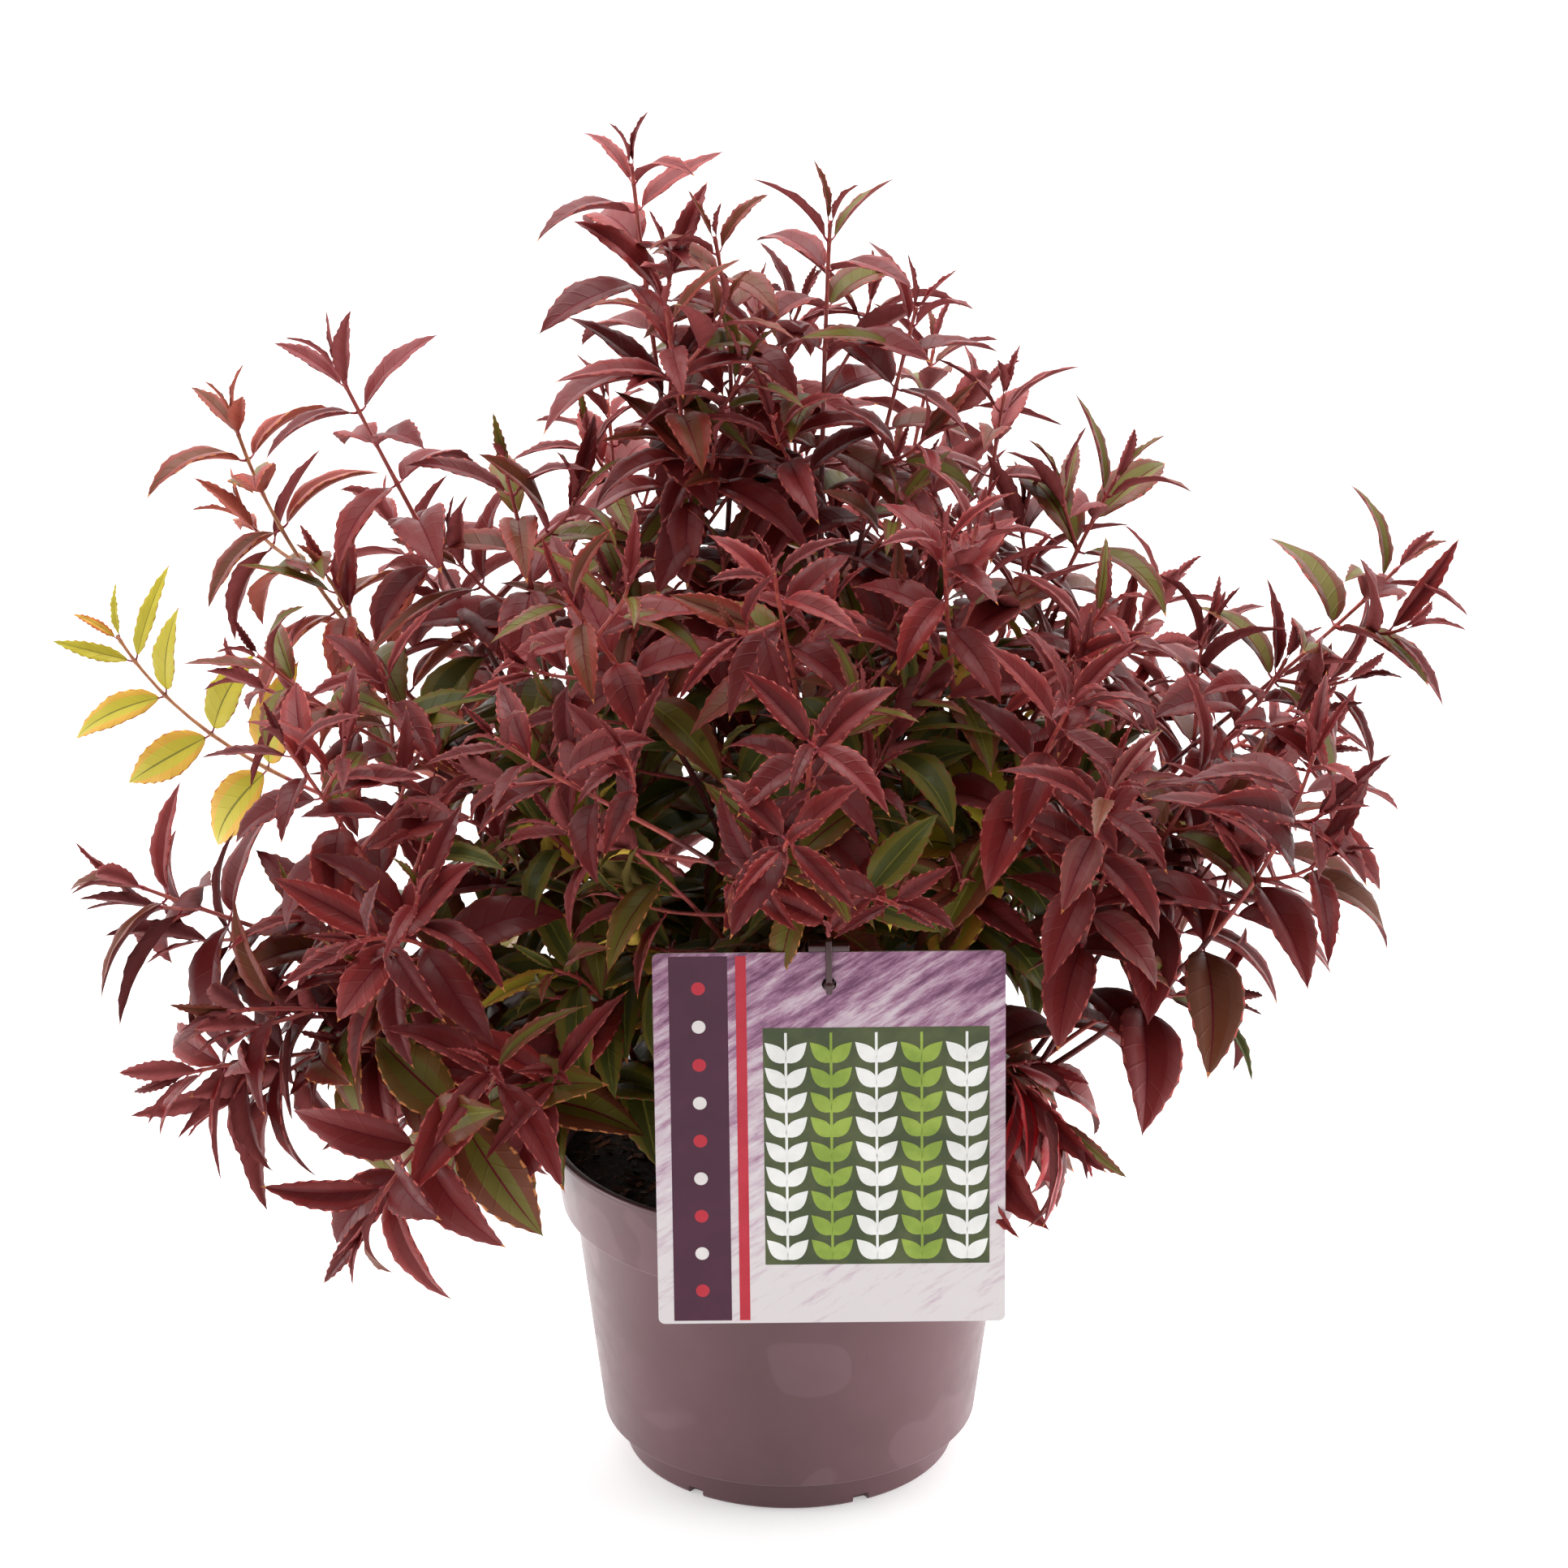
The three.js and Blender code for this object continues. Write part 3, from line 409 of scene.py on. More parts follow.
class Stem:
    """A cubic curve measured by its length, from its start share to its end share."""

    def __init__(self, start, start_slope, end, end_slope, first=0.0, last=1.0):
        pull = np.linalg.norm(end - start) * 0.36
        self.poles = np.array([start, start + start_slope * pull, end - end_slope * pull, end])
        self.steps = np.linspace(0, 1, 201)
        lengths = np.linalg.norm(np.diff(self.at(self.steps), axis=0), axis=1)
        self.reach = np.concatenate([[0], np.cumsum(lengths)])
        self.first = first
        self.last = last
        self.length = self.reach[-1] * (last - first)
        chord = end - start
        across = np.cross(chord, UP)
        upright = np.linalg.norm(across) < np.linalg.norm(chord) * 0.05
        self.across = np.array([1.0, 0, 0]) if upright else unit(across)

    def at(self, t):
        t = np.atleast_1d(t)[:, None]
        a, b, c, d = self.poles
        return a * (1 - t) ** 3 + 3 * b * t * (1 - t) ** 2 + 3 * c * t ** 2 * (1 - t) + d * t ** 3

    def parameter(self, share):
        return np.interp(mix(self.first, self.last, share) * self.reach[-1], self.reach, self.steps)

    def points(self, shares):
        return self.at(self.parameter(np.atleast_1d(shares)))

    def frames(self, shares):
        """Directions at the shares of the stem: along it, to its side, and at right angles to both."""
        t = self.parameter(np.atleast_1d(shares))[:, None]
        a, b, c, d = self.poles
        along = (b - a) * (1 - t) ** 2 + 2 * (c - b) * t * (1 - t) + (d - c) * t ** 2
        along /= np.linalg.norm(along, axis=1)[:, None]
        side = self.across - along * (along @ self.across)[:, None]
        side /= np.linalg.norm(side, axis=1)[:, None]
        return along, side, np.cross(side, along)

    def frame(self, share):
        return [vectors[0] for vectors in self.frames(share)]


def stem_rings(length, step, nodes):
    """Places of the rings on a stem: even steps, and three close rings at each node."""
    even = np.linspace(0, length, max(3, int(round(length / step)) + 1))
    close = [node + offset for node in nodes for offset in NODE_RINGS]
    kept = [place for place in close if 1 < place < length - 1]
    places = np.sort(np.concatenate([even, kept]))
    apart = np.concatenate([[True], np.diff(places) > LEAST_RING_STEP])
    return places[apart]


def node_swelling(places, nodes, height, width):
    swell = np.zeros(len(places))
    for node in nodes:
        swell += height * np.exp(-(((places - node) / width) ** 2))
    return swell


def new_mass(name, cane_name, stem, bare=0.0):
    habit = {**COMMON_HABIT, "bare": bare, **HABITS.get(name, {})}
    return {"name": name, "cane": cane_name, "stem": stem, "habit": habit, "leaves": [], "twigs": []}


limbs = {}
masses = []
for name, (distance, bearing), tip, spring, rise, limb_share in CANES:
    foot = slope(radians(bearing), 0) * distance
    foot[2] = SOIL_TOP + GAP
    tip = np.array(tip, float)
    heading = bearing_of(foot, tip)
    curve = (foot, slope(heading, radians(spring)), tip, slope(heading, radians(rise)))
    limbs[name] = Stem(*curve, 0.0, limb_share)
    masses.append(new_mass(name, name, Stem(*curve, limb_share, 1.0), CANE_SHOOT_BARE))
for name, cane_name, place, tip, rise, bare in SIDE_SHOOTS:
    start = limbs[cane_name].points(place)[0]
    tip = np.array(tip, float)
    leave = unit(limbs[cane_name].frame(place)[0] * 0.5 + unit(tip - start) * 0.5)
    stem = Stem(start, leave, tip, slope(bearing_of(start, tip), radians(rise)))
    masses.append(new_mass(name, cane_name, stem, bare))
limb_masses = {name: new_mass(name, name, limb) for name, limb in limbs.items()}
limb_points = np.concatenate([limb.points(np.linspace(0, 1, 40)) for limb in limbs.values()])


# Clear space

card_drop = CARD_PLACE["top"] - POT["height"]
card_y = -POT["rim"] - GAP + card_drop * tan(radians(CARD_PLACE["lean"])) - CARD["thickness"]
turn_x = Matrix.Rotation(radians(-CARD_PLACE["lean"]), 4, "X")
turn_y = Matrix.Rotation(radians(-CARD_PLACE["roll"]), 4, "Y")
CARD_MATRIX = Matrix.Translation((CARD_PLACE["across"], card_y, CARD_PLACE["top"])) @ turn_x @ turn_y
to_millimetres = Matrix.Diagonal((1 / MM, 1 / MM, 1 / MM, 1))
CARD_IN_METRES = Matrix.Diagonal((MM, MM, MM, 1)) @ CARD_MATRIX @ to_millimetres
INTO_CARD = np.array(CARD_MATRIX.inverted())
stake_middle = CARD["thickness"] + HOLDER["bar_behind"] - HOLDER["stake_depth"] / 2
STAKE_TOP = np.array(CARD_MATRIX @ Vector((0, stake_middle, GAP)))


def clear_of_pot(points):
    """True where all points lie above the pot, outside its wall, or over the soil inside its rim."""
    radius = np.hypot(points[:, 0], points[:, 1])
    height = points[:, 2]
    rise = np.clip((height - POT["foot_height"]) / (LEDGE - POT["foot_height"]), 0, 1)
    wall = mix(POT["wall_foot"], POT["wall_top"], rise)
    wall = np.where(height > LEDGE - CLEAR["under_collar"], POT["rim"], wall)
    outside = (radius > wall + CLEAR["wall"]) & (height > CLEAR["floor"])
    inside = (radius < POT["rim"] - CLEAR["inside"]) & (height > SOIL_TOP + CLEAR["soil"])
    return bool(np.all((height > POT["height"] + CLEAR["wall"]) | outside | inside))


def clear_of_card(points):
    """True where no point is near the card, the bar or the stake, or hides the card from the front."""
    local = points @ INTO_CARD[:3, :3].T + INTO_CARD[:3, 3]
    x, y, z = np.abs(local[:, 0]), local[:, 1], local[:, 2]
    beside, half = CLEAR["card_side"], CARD["width"] / 2
    near_card = (x < half + beside) & (np.abs(y) < CLEAR["card_face"])
    near_card &= (z < CLEAR["card_top"]) & (z > -CARD["height"] - beside)
    near_card |= (x < half + CLEAR["in_front"]) & (y < 0) & (z < beside - y * CARD_SLOPE)
    near_bar = (x < HOLDER["bar_width"] / 2 + beside) & (np.abs(z) < HOLDER["hook_drop"])
    near_bar &= np.abs(y) < CLEAR["bar"]
    stake_y = STAKE_TOP[1] + (STAKE_TOP[2] - points[:, 2]) * tan(radians(HOLDER["stake_lean"]))
    from_stake = np.hypot(points[:, 0] - STAKE_TOP[0], points[:, 1] - stake_y)
    near_stake = (points[:, 2] < STAKE_TOP[2]) & (from_stake < CLEAR["stake"])
    return not bool(np.any(near_card | near_bar | near_stake))


def clear_of_openings(points):
    """True where no point lies in front of an opening."""
    rise = radians(VIEW_DOWN)
    for place, wide, tall in OPENINGS:
        from_place = points - np.array(place)
        ahead = from_place[:, 2] * sin(rise) - from_place[:, 1] * cos(rise)
        above = from_place[:, 2] * cos(rise) + from_place[:, 1] * sin(rise)
        inside = (from_place[:, 0] / wide) ** 2 + (above / tall) ** 2 < 1
        if np.any(inside & (ahead > 0)):
            return False
    return True


def least_distance(points, others):
    return np.linalg.norm(points[:, None] - others[None], axis=2).min()


# Leaves

taken_points = np.zeros((40000, 3))
taken = 0


def leaf_samples(leaf):
    """Six points of a leaf: along its arched midrib, at its widest and at its tip."""
    length, half = leaf["length"], leaf["length"] * leaf["width"] / 2
    base, along, across, face = leaf["base"], leaf["along"], leaf["across"], leaf["face"]
    fall = sin(leaf["droop"]) * 0.45
    samples = [
        (0.35, 0, 0.04), (0.62, 0, 0.02 - fall * 0.35), (0.82, 0, -fall * 0.7), (0.97, 0, -fall),
        (0.42, 0.9, 0.08), (0.42, -0.9, 0.08),
    ]
    return np.array([
        base + along * (ahead * length) + across * (aside * half) + face * (above * length)
        for ahead, aside, above in samples
    ])


def place_leaf(base, along, out, angle, length, age, habit):
    """A leaf's own directions; it turns its face to the light, and older ones hang more."""
    heading = along * cos(angle) + out * sin(angle)
    heading = unit(heading - UP * (mix(0.06, 0.3, age) * sin(angle) + habit["hang"]))
    face = along * sin(angle) - out * cos(angle) + (FLAT_LIGHT if habit["flat"] else LIGHT)
    face = unit(face - heading * (face @ heading))
    return {
        "base": base + heading * LEAF["petiole"], "root": base, "along": heading,
        "across": np.cross(face, heading), "face": face, "length": length,
    }


def bend_leaf(leaf, keys, pair, age, flat):
    """How a leaf is folded, curved and twisted: young leaves are folded, older ones flatter."""
    young = max(0.0, 1 - pair / YOUNG_PAIRS)
    for place, (name, (old_bend, young_bend, reach)) in enumerate(BENDS.items()):
        leaf[name] = radians(mix(old_bend, young_bend, young) + spread(*keys, USE["bend"] + place, reach))
    if flat:
        leaf["fold"] *= 0.5
        leaf["droop"] *= 0.7
    leaf["phase"] = chance(*keys, USE["phase"]) * ROUGH_TURN
    leaf["width"] = LEAF["width_share"] * (1 + spread(*keys, USE["width"], 0.12)) * mix(0.84, 1.2, age)
    leaf["width"] *= item(PAIR_WIDTHS, pair)


def fit_leaf(mass, pair, node, side, base, along, out, angle, length):
    """The leaf at its first place, or turned and shortened until it stands clear, or none."""
    global taken
    keys = (mass["order"], node, side)
    third = np.cross(along, out)
    age = min(1, pair / OLD_PAIR)
    for trial in range(LEAF["trials"]):
        turn = radians(spread(*keys, USE["turn"] + trial, 9 + trial * 9))
        lift = radians(spread(*keys, USE["lift"] + trial, 6 + trial * 4))
        outwards = out * cos(turn) + third * sin(turn)
        size = length * (1 - LEAF["shortening"] * trial)
        leaf = place_leaf(base, along, outwards, angle + lift, size, age, mass["habit"])
        bend_leaf(leaf, keys, pair, age, mass["habit"]["flat"])
        points = leaf_samples(leaf)
        if not (clear_of_pot(points) and clear_of_card(points) and clear_of_openings(points)):
            continue
        if least_distance(points, limb_points) < LEAF["from_limb"]:
            continue
        apart = (LEAF["apart"] - 0.2 * trial) * (0.55 if pair < 2 else 1)
        if taken and least_distance(points, taken_points[:taken]) < apart:
            continue
        taken_points[taken:taken + len(points)] = points
        taken += len(points)
        leaf.update(pair=pair, node=node, side=side)
        return leaf
    return None


def pair_out(vectors, quarter):
    """The direction in which the first leaf of a pair leaves the stem."""
    _, side, lift = vectors
    turn = radians(quarter)
    return side * cos(turn) + lift * sin(turn)


def grow_pairs(mass, stem, first_node, bare_length, most):
    """Pairs of leaves down a stem from its tip; each stands crosswise to the ones above and below."""
    order, habit = mass["order"], mass["habit"]
    nodes = []
    full = LEAF["length"] * habit["size"]
    down = 0.0
    for pair in range(most):
        node = first_node + pair
        down += item(PAIR_STEPS, pair) * habit["apart"] * (1 + spread(order, node, 0, USE["step"], 0.1))
        if stem.length - down < bare_length:
            break
        share = 1 - down / stem.length
        vectors = stem.frame(share)
        base = stem.points(share)[0]
        quarter = 90 if habit["flat"] else 45 + 90 * pair
        out = pair_out(vectors, quarter + spread(order, node, 0, USE["bearing"], 14))
        for side in (1, -1):
            size = item(PAIR_SIZES, pair) * (1 + spread(order, node, side, USE["size"], 0.12))
            angle = radians(item(PAIR_ANGLES, pair) + spread(order, node, side, USE["angle"], 7))
            leaf = fit_leaf(mass, pair, node, side, base, vectors[0], out * side, angle, full * size)
            if leaf:
                leaf.update(down=down, stem_key=first_node)
                mass["leaves"].append(leaf)
        nodes.append({"down": down, "vectors": vectors, "base": base, "out": out, "pair": pair})
    return nodes


def side_twig(mass, node, key):
    """A side twig grows from just above a pair of leaves, sideways and then up."""
    order = mass["order"]
    length = TWIG["shortest"] + TWIG["share"] * node["down"]
    length = min(length * (1 + spread(order, key, 0, USE["twig_length"], 0.22)), TWIG["longest"])
    out = node["out"] * (1 if chance(order, key, 0, USE["twig_side"]) > 0.5 else -1)
    angle = radians(TWIG["angle"] + spread(order, key, 0, USE["twig_angle"], 9))
    heading = node["vectors"][0] * cos(angle) + out * sin(angle)
    end = node["base"] + heading * length * 0.94 + UP * length * (0.1 - mass["habit"]["hang"] * 0.8)
    if not (clear_of_pot(end[None]) and clear_of_card(end[None])):
        return None
    turn = unit(node["vectors"][0] * 0.5 + heading * 0.5 + UP * 0.15)
    return Stem(node["base"], heading, end, turn)


def grow_mass(mass):
    """Leaves on the shoot, and side twigs with their own leaves above every other pair."""
    stem = mass["stem"]
    mass["nodes"] = grow_pairs(mass, stem, 0, stem.length * mass["habit"]["bare"], STEM["most_pairs"])
    for node in mass["nodes"]:
        if node["pair"] < mass["habit"]["twigs_from"] or node["pair"] % 2 == 0:
            continue
        key = 100 + node["pair"] * 10
        twig = side_twig(mass, node, key)
        if twig is None:
            continue
        nodes = grow_pairs(mass, twig, key * 10, twig.length * TWIG["bare"], TWIG["most_pairs"])
        mass["twigs"].append({"stem": twig, "nodes": nodes})


def grow_limb_leaves(mass):
    """The older leaves that stand on the cane itself, inside the crown."""
    limb, order = mass["stem"], mass["order"]
    down = LIMB_LEAF["first"]
    node = 0
    while limb.length - down > limb.length * LIMB_LEAF["bare"]:
        share = 1 - down / limb.length
        vectors = limb.frame(share)
        out = pair_out(vectors, 45 + 90 * node + spread(order, node, 0, USE["bearing"], 14))
        for side in (1, -1):
            length = LEAF["length"] * (LIMB_LEAF["size"] + spread(order, node, side, USE["size"], 0.12))
            radius = mix(CANE["foot_radius"], CANE["tip_radius"], share)
            base = limb.points(share)[0] + out * side * radius * 0.5
            leaf = fit_leaf(mass, LIMB_LEAF["pair"], LIMB_LEAF["node"] + node, side, base, vectors[0],
                            out * side, radians(LIMB_LEAF["angle"]), length)
            if leaf:
                leaf.update(down=LIMB_LEAF["down"], stem_key=LIMB_LEAF["node"])
                mass["leaves"].append(leaf)
        down += LIMB_LEAF["step"]
        node += 1


for order, mass in enumerate(masses):
    mass["order"] = order
    grow_mass(mass)
for order, mass in enumerate(limb_masses.values()):
    mass["order"] = 200 + order
    grow_limb_leaves(mass)


# Leaf colours

# Families of colours, dealt out by shoot and twig: blades, and the underside, the edge and the midrib
FAMILIES = {
    "wine": (["wine", "wine_red", "wine_deep", "mauve", "wine_red", "wine"], "rose", "pink", "red"),
    "brown": (["wine_brown", "wine", "olive_red", "mauve", "wine_brown"], "rose", "pink", "red"),
    "bronze": (["olive_red", "bronze", "copper", "wine_brown", "olive_red"], "rose", "pink", "red"),
    # The rust family's orange reds: partly the leaves' own colour, partly painted light that stands for
    # light shining through them
    "rust": (["rust", "copper", "rust", "bronze", "wine_red"], "coral", "tan", "red"),
    "gold": (["gold", "orange", "lime", "gold", "orange"], "straw", "tan", "green"),
    "crimson": (["crimson", "crimson_dark", "crimson", "wine_red"], "dusk", "pink", "red"),
    "olive": (["olive_dark", "olive", "olive_red", "olive", "wine_brown"], "moss", "brown", "green"),
    "shade": (["olive_dark", "wine_deep", "olive_red", "plum"], "dusk", "pink", "red"),
    "turning": (["olive_red", "wine_brown", "bronze", "olive_red", "wine_brown"], "dusk", "tan", "red"),
    # The deep and plum families: darker tints for the low and the front leaves, painted shade
    "deep": (["plum", "wine_deep", "wine_brown", "wine_deep", "wine"], "dusk", "brown", "red"),
    "plum": (["plum", "wine_deep", "wine", "wine_deep", "plum"], "dusk", "pink", "red"),
    "dusky": (["dusky", "umber", "mauve", "dusky", "wine_brown"], "dusk", "pink", "red"),
    # Gold and lime glow tints: partly the leaves' own colour, partly painted light that makes the inside of
    # the crown look lit
    "glow": (["lime", "gold", "olive", "olive", "gold"], "straw", "brown", "green"),
}
CROWN_MIDDLE = np.array([0.0, 10.0, 235.0])
CROWN_REACH = np.array([250.0, 190.0, 270.0])

# Where colours change into others: the place at which a change starts, and how far it takes to be whole. The
# deep change below its height and the front change before its place bring in darker tints: painted shade
CHANGES = {
    "inner": (0.68, 0.2), "under_top": (400, 90), "low": (280, 110), "deep": (300, 80), "front": (-85, 50),
}
GOLD_LENGTH = 120
DUSKY_LENGTH = 60
YOUNG_HEIGHT = 330

# The draw below which a leaf gets the family, or above which it is brown
DRAWS = {"olive_glow": 0.2, "turning": 0.7, "own": 0.88, "inner_glow": 0.18, "brown": 0.9}


def share_between(value, reach):
    """How much of its reach a value has come, from 0 to 1."""
    return min(1.0, max(0.0, value / reach))


def change(name, value):
    """How far a colour has changed at a value below the start of the change."""
    start, reach = CHANGES[name]
    return share_between(start - value, reach)


def leaf_family(mass, leaf):
    habit = mass["habit"]
    keys = (mass["order"], leaf["node"], leaf["side"])
    middle = leaf["base"] + leaf["along"] * leaf["length"] * 0.5
    height, down = middle[2], leaf["down"]
    outer = float(np.linalg.norm((middle - CROWN_MIDDLE) / CROWN_REACH))
    draw = chance(*keys, USE["family"])
    if habit["family"] == "gold":
        return "gold" if down < GOLD_LENGTH else "glow"
    if habit["family"] == "olive" and draw < DRAWS["olive_glow"]:
        return "glow"
    if down > habit["turning"]:
        return "turning" if draw < DRAWS["turning"] else "olive"
    if habit["dusky"] and draw < share_between(down, DUSKY_LENGTH):
        return "dusky"
    if habit["family"] and draw < DRAWS["own"]:
        return habit["family"]
    # Some inner leaves get the lighter glow tints: painted light inside the crown
    if outer < 0.54 and draw < DRAWS["inner_glow"] and height > 150:
        return "glow"
    inner = change("inner", outer) * change("under_top", height)
    if draw < inner * 0.85 + change("low", height) * share_between(down - 40, 60) * 0.6:
        return "olive"
    if leaf["pair"] < YOUNG_PAIRS and height > YOUNG_HEIGHT and draw > 1 - habit["bronze"]:
        return "bronze"
    # Leaves low in the crown and at its front get the darker deep and plum tints: painted shade
    shade_draw = chance(*keys, USE["shade"])
    if shade_draw < change("deep", height) * 0.7:
        return "deep"
    if shade_draw < change("front", middle[1]) * 0.75:
        return "plum"
    spray = chance(mass["order"], leaf["stem_key"], 0, USE["spray"])
    return "brown" if spray > 0.75 or draw > DRAWS["brown"] else "wine"


LEAF_COLOURS = [(kind, name) for kind, names in COLOURS.items() for name in names]
COLOUR_PLACE = {key: place for place, key in enumerate(LEAF_COLOURS)}
LEAF_PARTS = ["blade", "under", "edge", "rib", "inner"]


def leaf_colours(mass, leaf):
    """The places of the materials of the leaf's parts, in the order of the parts."""
    blades, under, edge, rib = FAMILIES[leaf_family(mass, leaf)]
    pick = chance(mass["order"], leaf["stem_key"] + leaf["pair"] // 2, 0, USE["spray_colour"]) * 0.55
    pick += chance(mass["order"], leaf["node"], leaf["side"], USE["colour"]) * 0.45
    blade = blades[min(len(blades) - 1, int(pick * len(blades)))]
    names = [("blade", blade), ("under", under), ("edge", edge), ("rib", rib), ("blade", BLADES[blade][1])]
    return [COLOUR_PLACE[name] for name in names]


def leaf_rows():
    """Places of the rows along a leaf, and its half width there as a share of the greatest."""
    places = np.concatenate([[0, 0.03], np.linspace(0.085, 0.95, LEAF["rows"] - 4), [0.985, 1.0]])
    profile = places ** 0.72 * (1 - places) ** 1.2
    profile /= profile.max()
    profile[0] = 0.05
    profile[-1] = 0.015
    return places, profile


# Columns across the top of a leaf, as shares of its half width, and the one along its underside
TOP_COLUMNS = np.array([-1, -0.93, -0.56, -0.05, 0.05, 0.56, 0.93, 1])
UNDER_COLUMN = 0.0
STRIPS = ["edge", "blade", "inner", "rib", "inner", "blade", "edge", "under", "under"]
BLADE_THICKNESS, RIB_DEPTH = 0.24, 0.34

# Waves along the blade: their height at its edge, how many, and how far they shift from side to side
RIPPLE, RIPPLE_WAVES, RIPPLE_SHIFT = 0.35, 19, 1.3


def leaf_points(leaves, rows, profile):
    """The points of all leaves, by leaf, row and column: bent, swayed, twisted, folded and toothed."""
    names = ["base", "along", "across", "face", "length", "width", "phase", *BENDS]
    take = {name: np.array([leaf[name] for leaf in leaves], float)[:, None] for name in names}
    along, across, face, length = take["along"], take["across"], take["face"], take["length"]
    step = np.diff(rows, prepend=0)
    bend = take["pitch"] - (take["pitch"] + take["droop"]) * rows ** 1.25
    sway = take["sway"] * rows
    ahead = np.cumsum(np.cos(bend) * np.cos(sway) * step, axis=1) * length
    above = np.cumsum(np.sin(bend) * step, axis=1) * length
    aside = np.cumsum(np.sin(sway) * np.cos(bend) * step, axis=1) * length
    middle = take["base"] + along * ahead[..., None] + face * above[..., None] + across * aside[..., None]
    normal = face * np.cos(bend)[..., None] - along * np.sin(bend)[..., None]
    turn = (take["twist"] * rows)[..., None]
    side = across * np.cos(turn) + normal * np.sin(turn)
    normal = normal * np.cos(turn) - across * np.sin(turn)
    forward = along * np.cos(bend)[..., None] + face * np.sin(bend)[..., None]
    half = length * take["width"] / 2 * profile
    tooth = np.where(np.arange(len(rows)) % 2 == 1, LEAF["tooth"], -LEAF["tooth"] * 0.7)
    tooth = tooth * np.clip(profile * 2.2, 0, 1) * (rows > 0.06) * (rows < 0.97)
    fold = take["fold"] * (1 - 0.35 * rows) * np.clip(rows * 9 + 0.35, 0, 1)
    columns = []
    for share in TOP_COLUMNS:
        reach = np.abs(share)
        edge = np.where(reach > 0.99, tooth, 0)[None, :]
        out = half * reach + edge
        lean = fold * (1 - 0.6 * reach ** 1.7)
        waves = np.sin(rows * RIPPLE_WAVES + take["phase"] + share * RIPPLE_SHIFT)
        ripple = RIPPLE * waves * reach ** 2
        rise = (out * np.sin(lean) + ripple * np.clip(profile * 1.5, 0, 1))[..., None]
        level = (out * np.cos(lean) * np.sign(share))[..., None]
        lead = (edge * 0.8)[..., None]
        columns.append(middle + side * level + normal * rise + forward * lead)
    depth = (BLADE_THICKNESS + RIB_DEPTH) * np.clip(profile * 2.5, 0.15, 1)
    columns.append(middle - normal * depth[:, None])
    return np.stack(columns, axis=2)


def add_leaves(shape, leaves, colours):
    """All the leaves of a piece at once, each a thin closed blade with a toothed edge."""
    rows, profile = leaf_rows()
    points = leaf_points(leaves, rows, profile)
    count, row_count, width, _ = points.shape
    leaf_places = np.zeros((count, row_count, width, 2))
    leaf_places[..., 0] = [*TOP_COLUMNS, UNDER_COLUMN]
    leaf_places[..., 1] = rows[None, :, None]

    leaf_first = np.arange(count)[:, None] * (row_count * width)
    quads = (ring_faces(row_count, width)[None] + leaf_first[..., None]).reshape(-1, 4)
    base_caps = np.arange(width)[::-1][None] + leaf_first
    tip_caps = np.arange(width)[None] + (row_count - 1) * width + leaf_first

    # The teeth are edged on every other row, and the tips of every other leaf are dry
    parts = {part: np.array(colours)[:, place] for place, part in enumerate(LEAF_PARTS)}
    strip_colours = np.stack([parts[part] for part in STRIPS], -1)
    face_colours = np.repeat(strip_colours[:, None], row_count - 1, axis=1)
    margins = [place for place, part in enumerate(STRIPS) if part == "edge"]
    face_colours[:, 1::2, margins] = parts["blade"][:, None, None]
    face_colours[::2, -2:] = COLOUR_PLACE[("edge", "tan")]
    shape.add(points, (quads, face_colours.reshape(-1)), (base_caps, parts["rib"]),
              (tip_caps, parts["edge"]), leaf_places=leaf_places.reshape(-1, 2))


# Materials

def to_linear(colour):
    """Red, green and blue from 0 to 255 as seen, as the light that they stand for."""
    values = np.array(colour) / 255
    linear = np.where(values > 0.04045, ((values + 0.055) / 1.055) ** 2.4, values / 12.92)
    return (*[float(v) for v in linear], 1.0)


def set_inputs(tree, node, values):
    """Each value is a number or colour for the node's own socket, or the output that is linked to it."""
    for key, value in values.items():
        if isinstance(value, bpy.types.NodeSocket):
            tree.links.new(value, node.inputs[key])
        else:
            node.inputs[key].default_value = value


def new_material(name):
    material = bpy.data.materials.new(name)
    material.use_nodes = True
    return material, material.node_tree, material.node_tree.nodes["Principled BSDF"]


def add_node(tree, kind, settings=(), **values):
    """A node with its settings, given as pairs, and the values or links of its inputs."""
    node = tree.nodes.new(kind)
    for key, value in settings:
        setattr(node, key, value)
    set_inputs(tree, node, values)
    return node


def maths(tree, operation, *values):
    """The result of a math node on numbers or on the outputs of other nodes."""
    node = add_node(tree, "ShaderNodeMath", [("operation", operation)])
    set_inputs(tree, node, dict(enumerate(values)))
    return node.outputs[0]


def blend(tree, share, under, over):
    """The colour under, covered by the colour over as far as the share says."""
    values = {"Factor": share, "A": under, "B": to_linear(over)}
    return add_node(tree, "ShaderNodeMix", [("data_type", "RGBA")], **values).outputs["Result"]


def axes(tree, vector):
    return add_node(tree, "ShaderNodeSeparateXYZ", Vector=vector).outputs


def object_place(tree):
    return add_node(tree, "ShaderNodeTexCoord").outputs["Object"]


def noise(tree, scale, detail=3.0, roughness=0.55, place=None):
    """Noise in object space; scale is in waves a metre."""
    place = place or object_place(tree)
    values = {"Scale": scale, "Detail": detail, "Roughness": roughness, "Vector": place}
    return add_node(tree, "ShaderNodeTexNoise", **values).outputs["Fac"]


def ramp(tree, source, *stops):
    """A colour ramp; each stop has its place, and a number for a grey or a colour as seen."""
    node = add_node(tree, "ShaderNodeValToRGB", Fac=source)
    elements = node.color_ramp.elements
    while len(elements) < len(stops):
        elements.new(0.5)
    for element, (place, value) in zip(elements, stops):
        element.position = place
        element.color = to_linear(value) if isinstance(value, tuple) else (value, value, value, 1.0)
    return node.outputs["Color"]


def set_bump(tree, surface, height, strength, distance):
    bump = add_node(tree, "ShaderNodeBump", Strength=strength, Distance=distance, Height=height)
    set_inputs(tree, surface, {"Normal": bump.outputs["Normal"]})


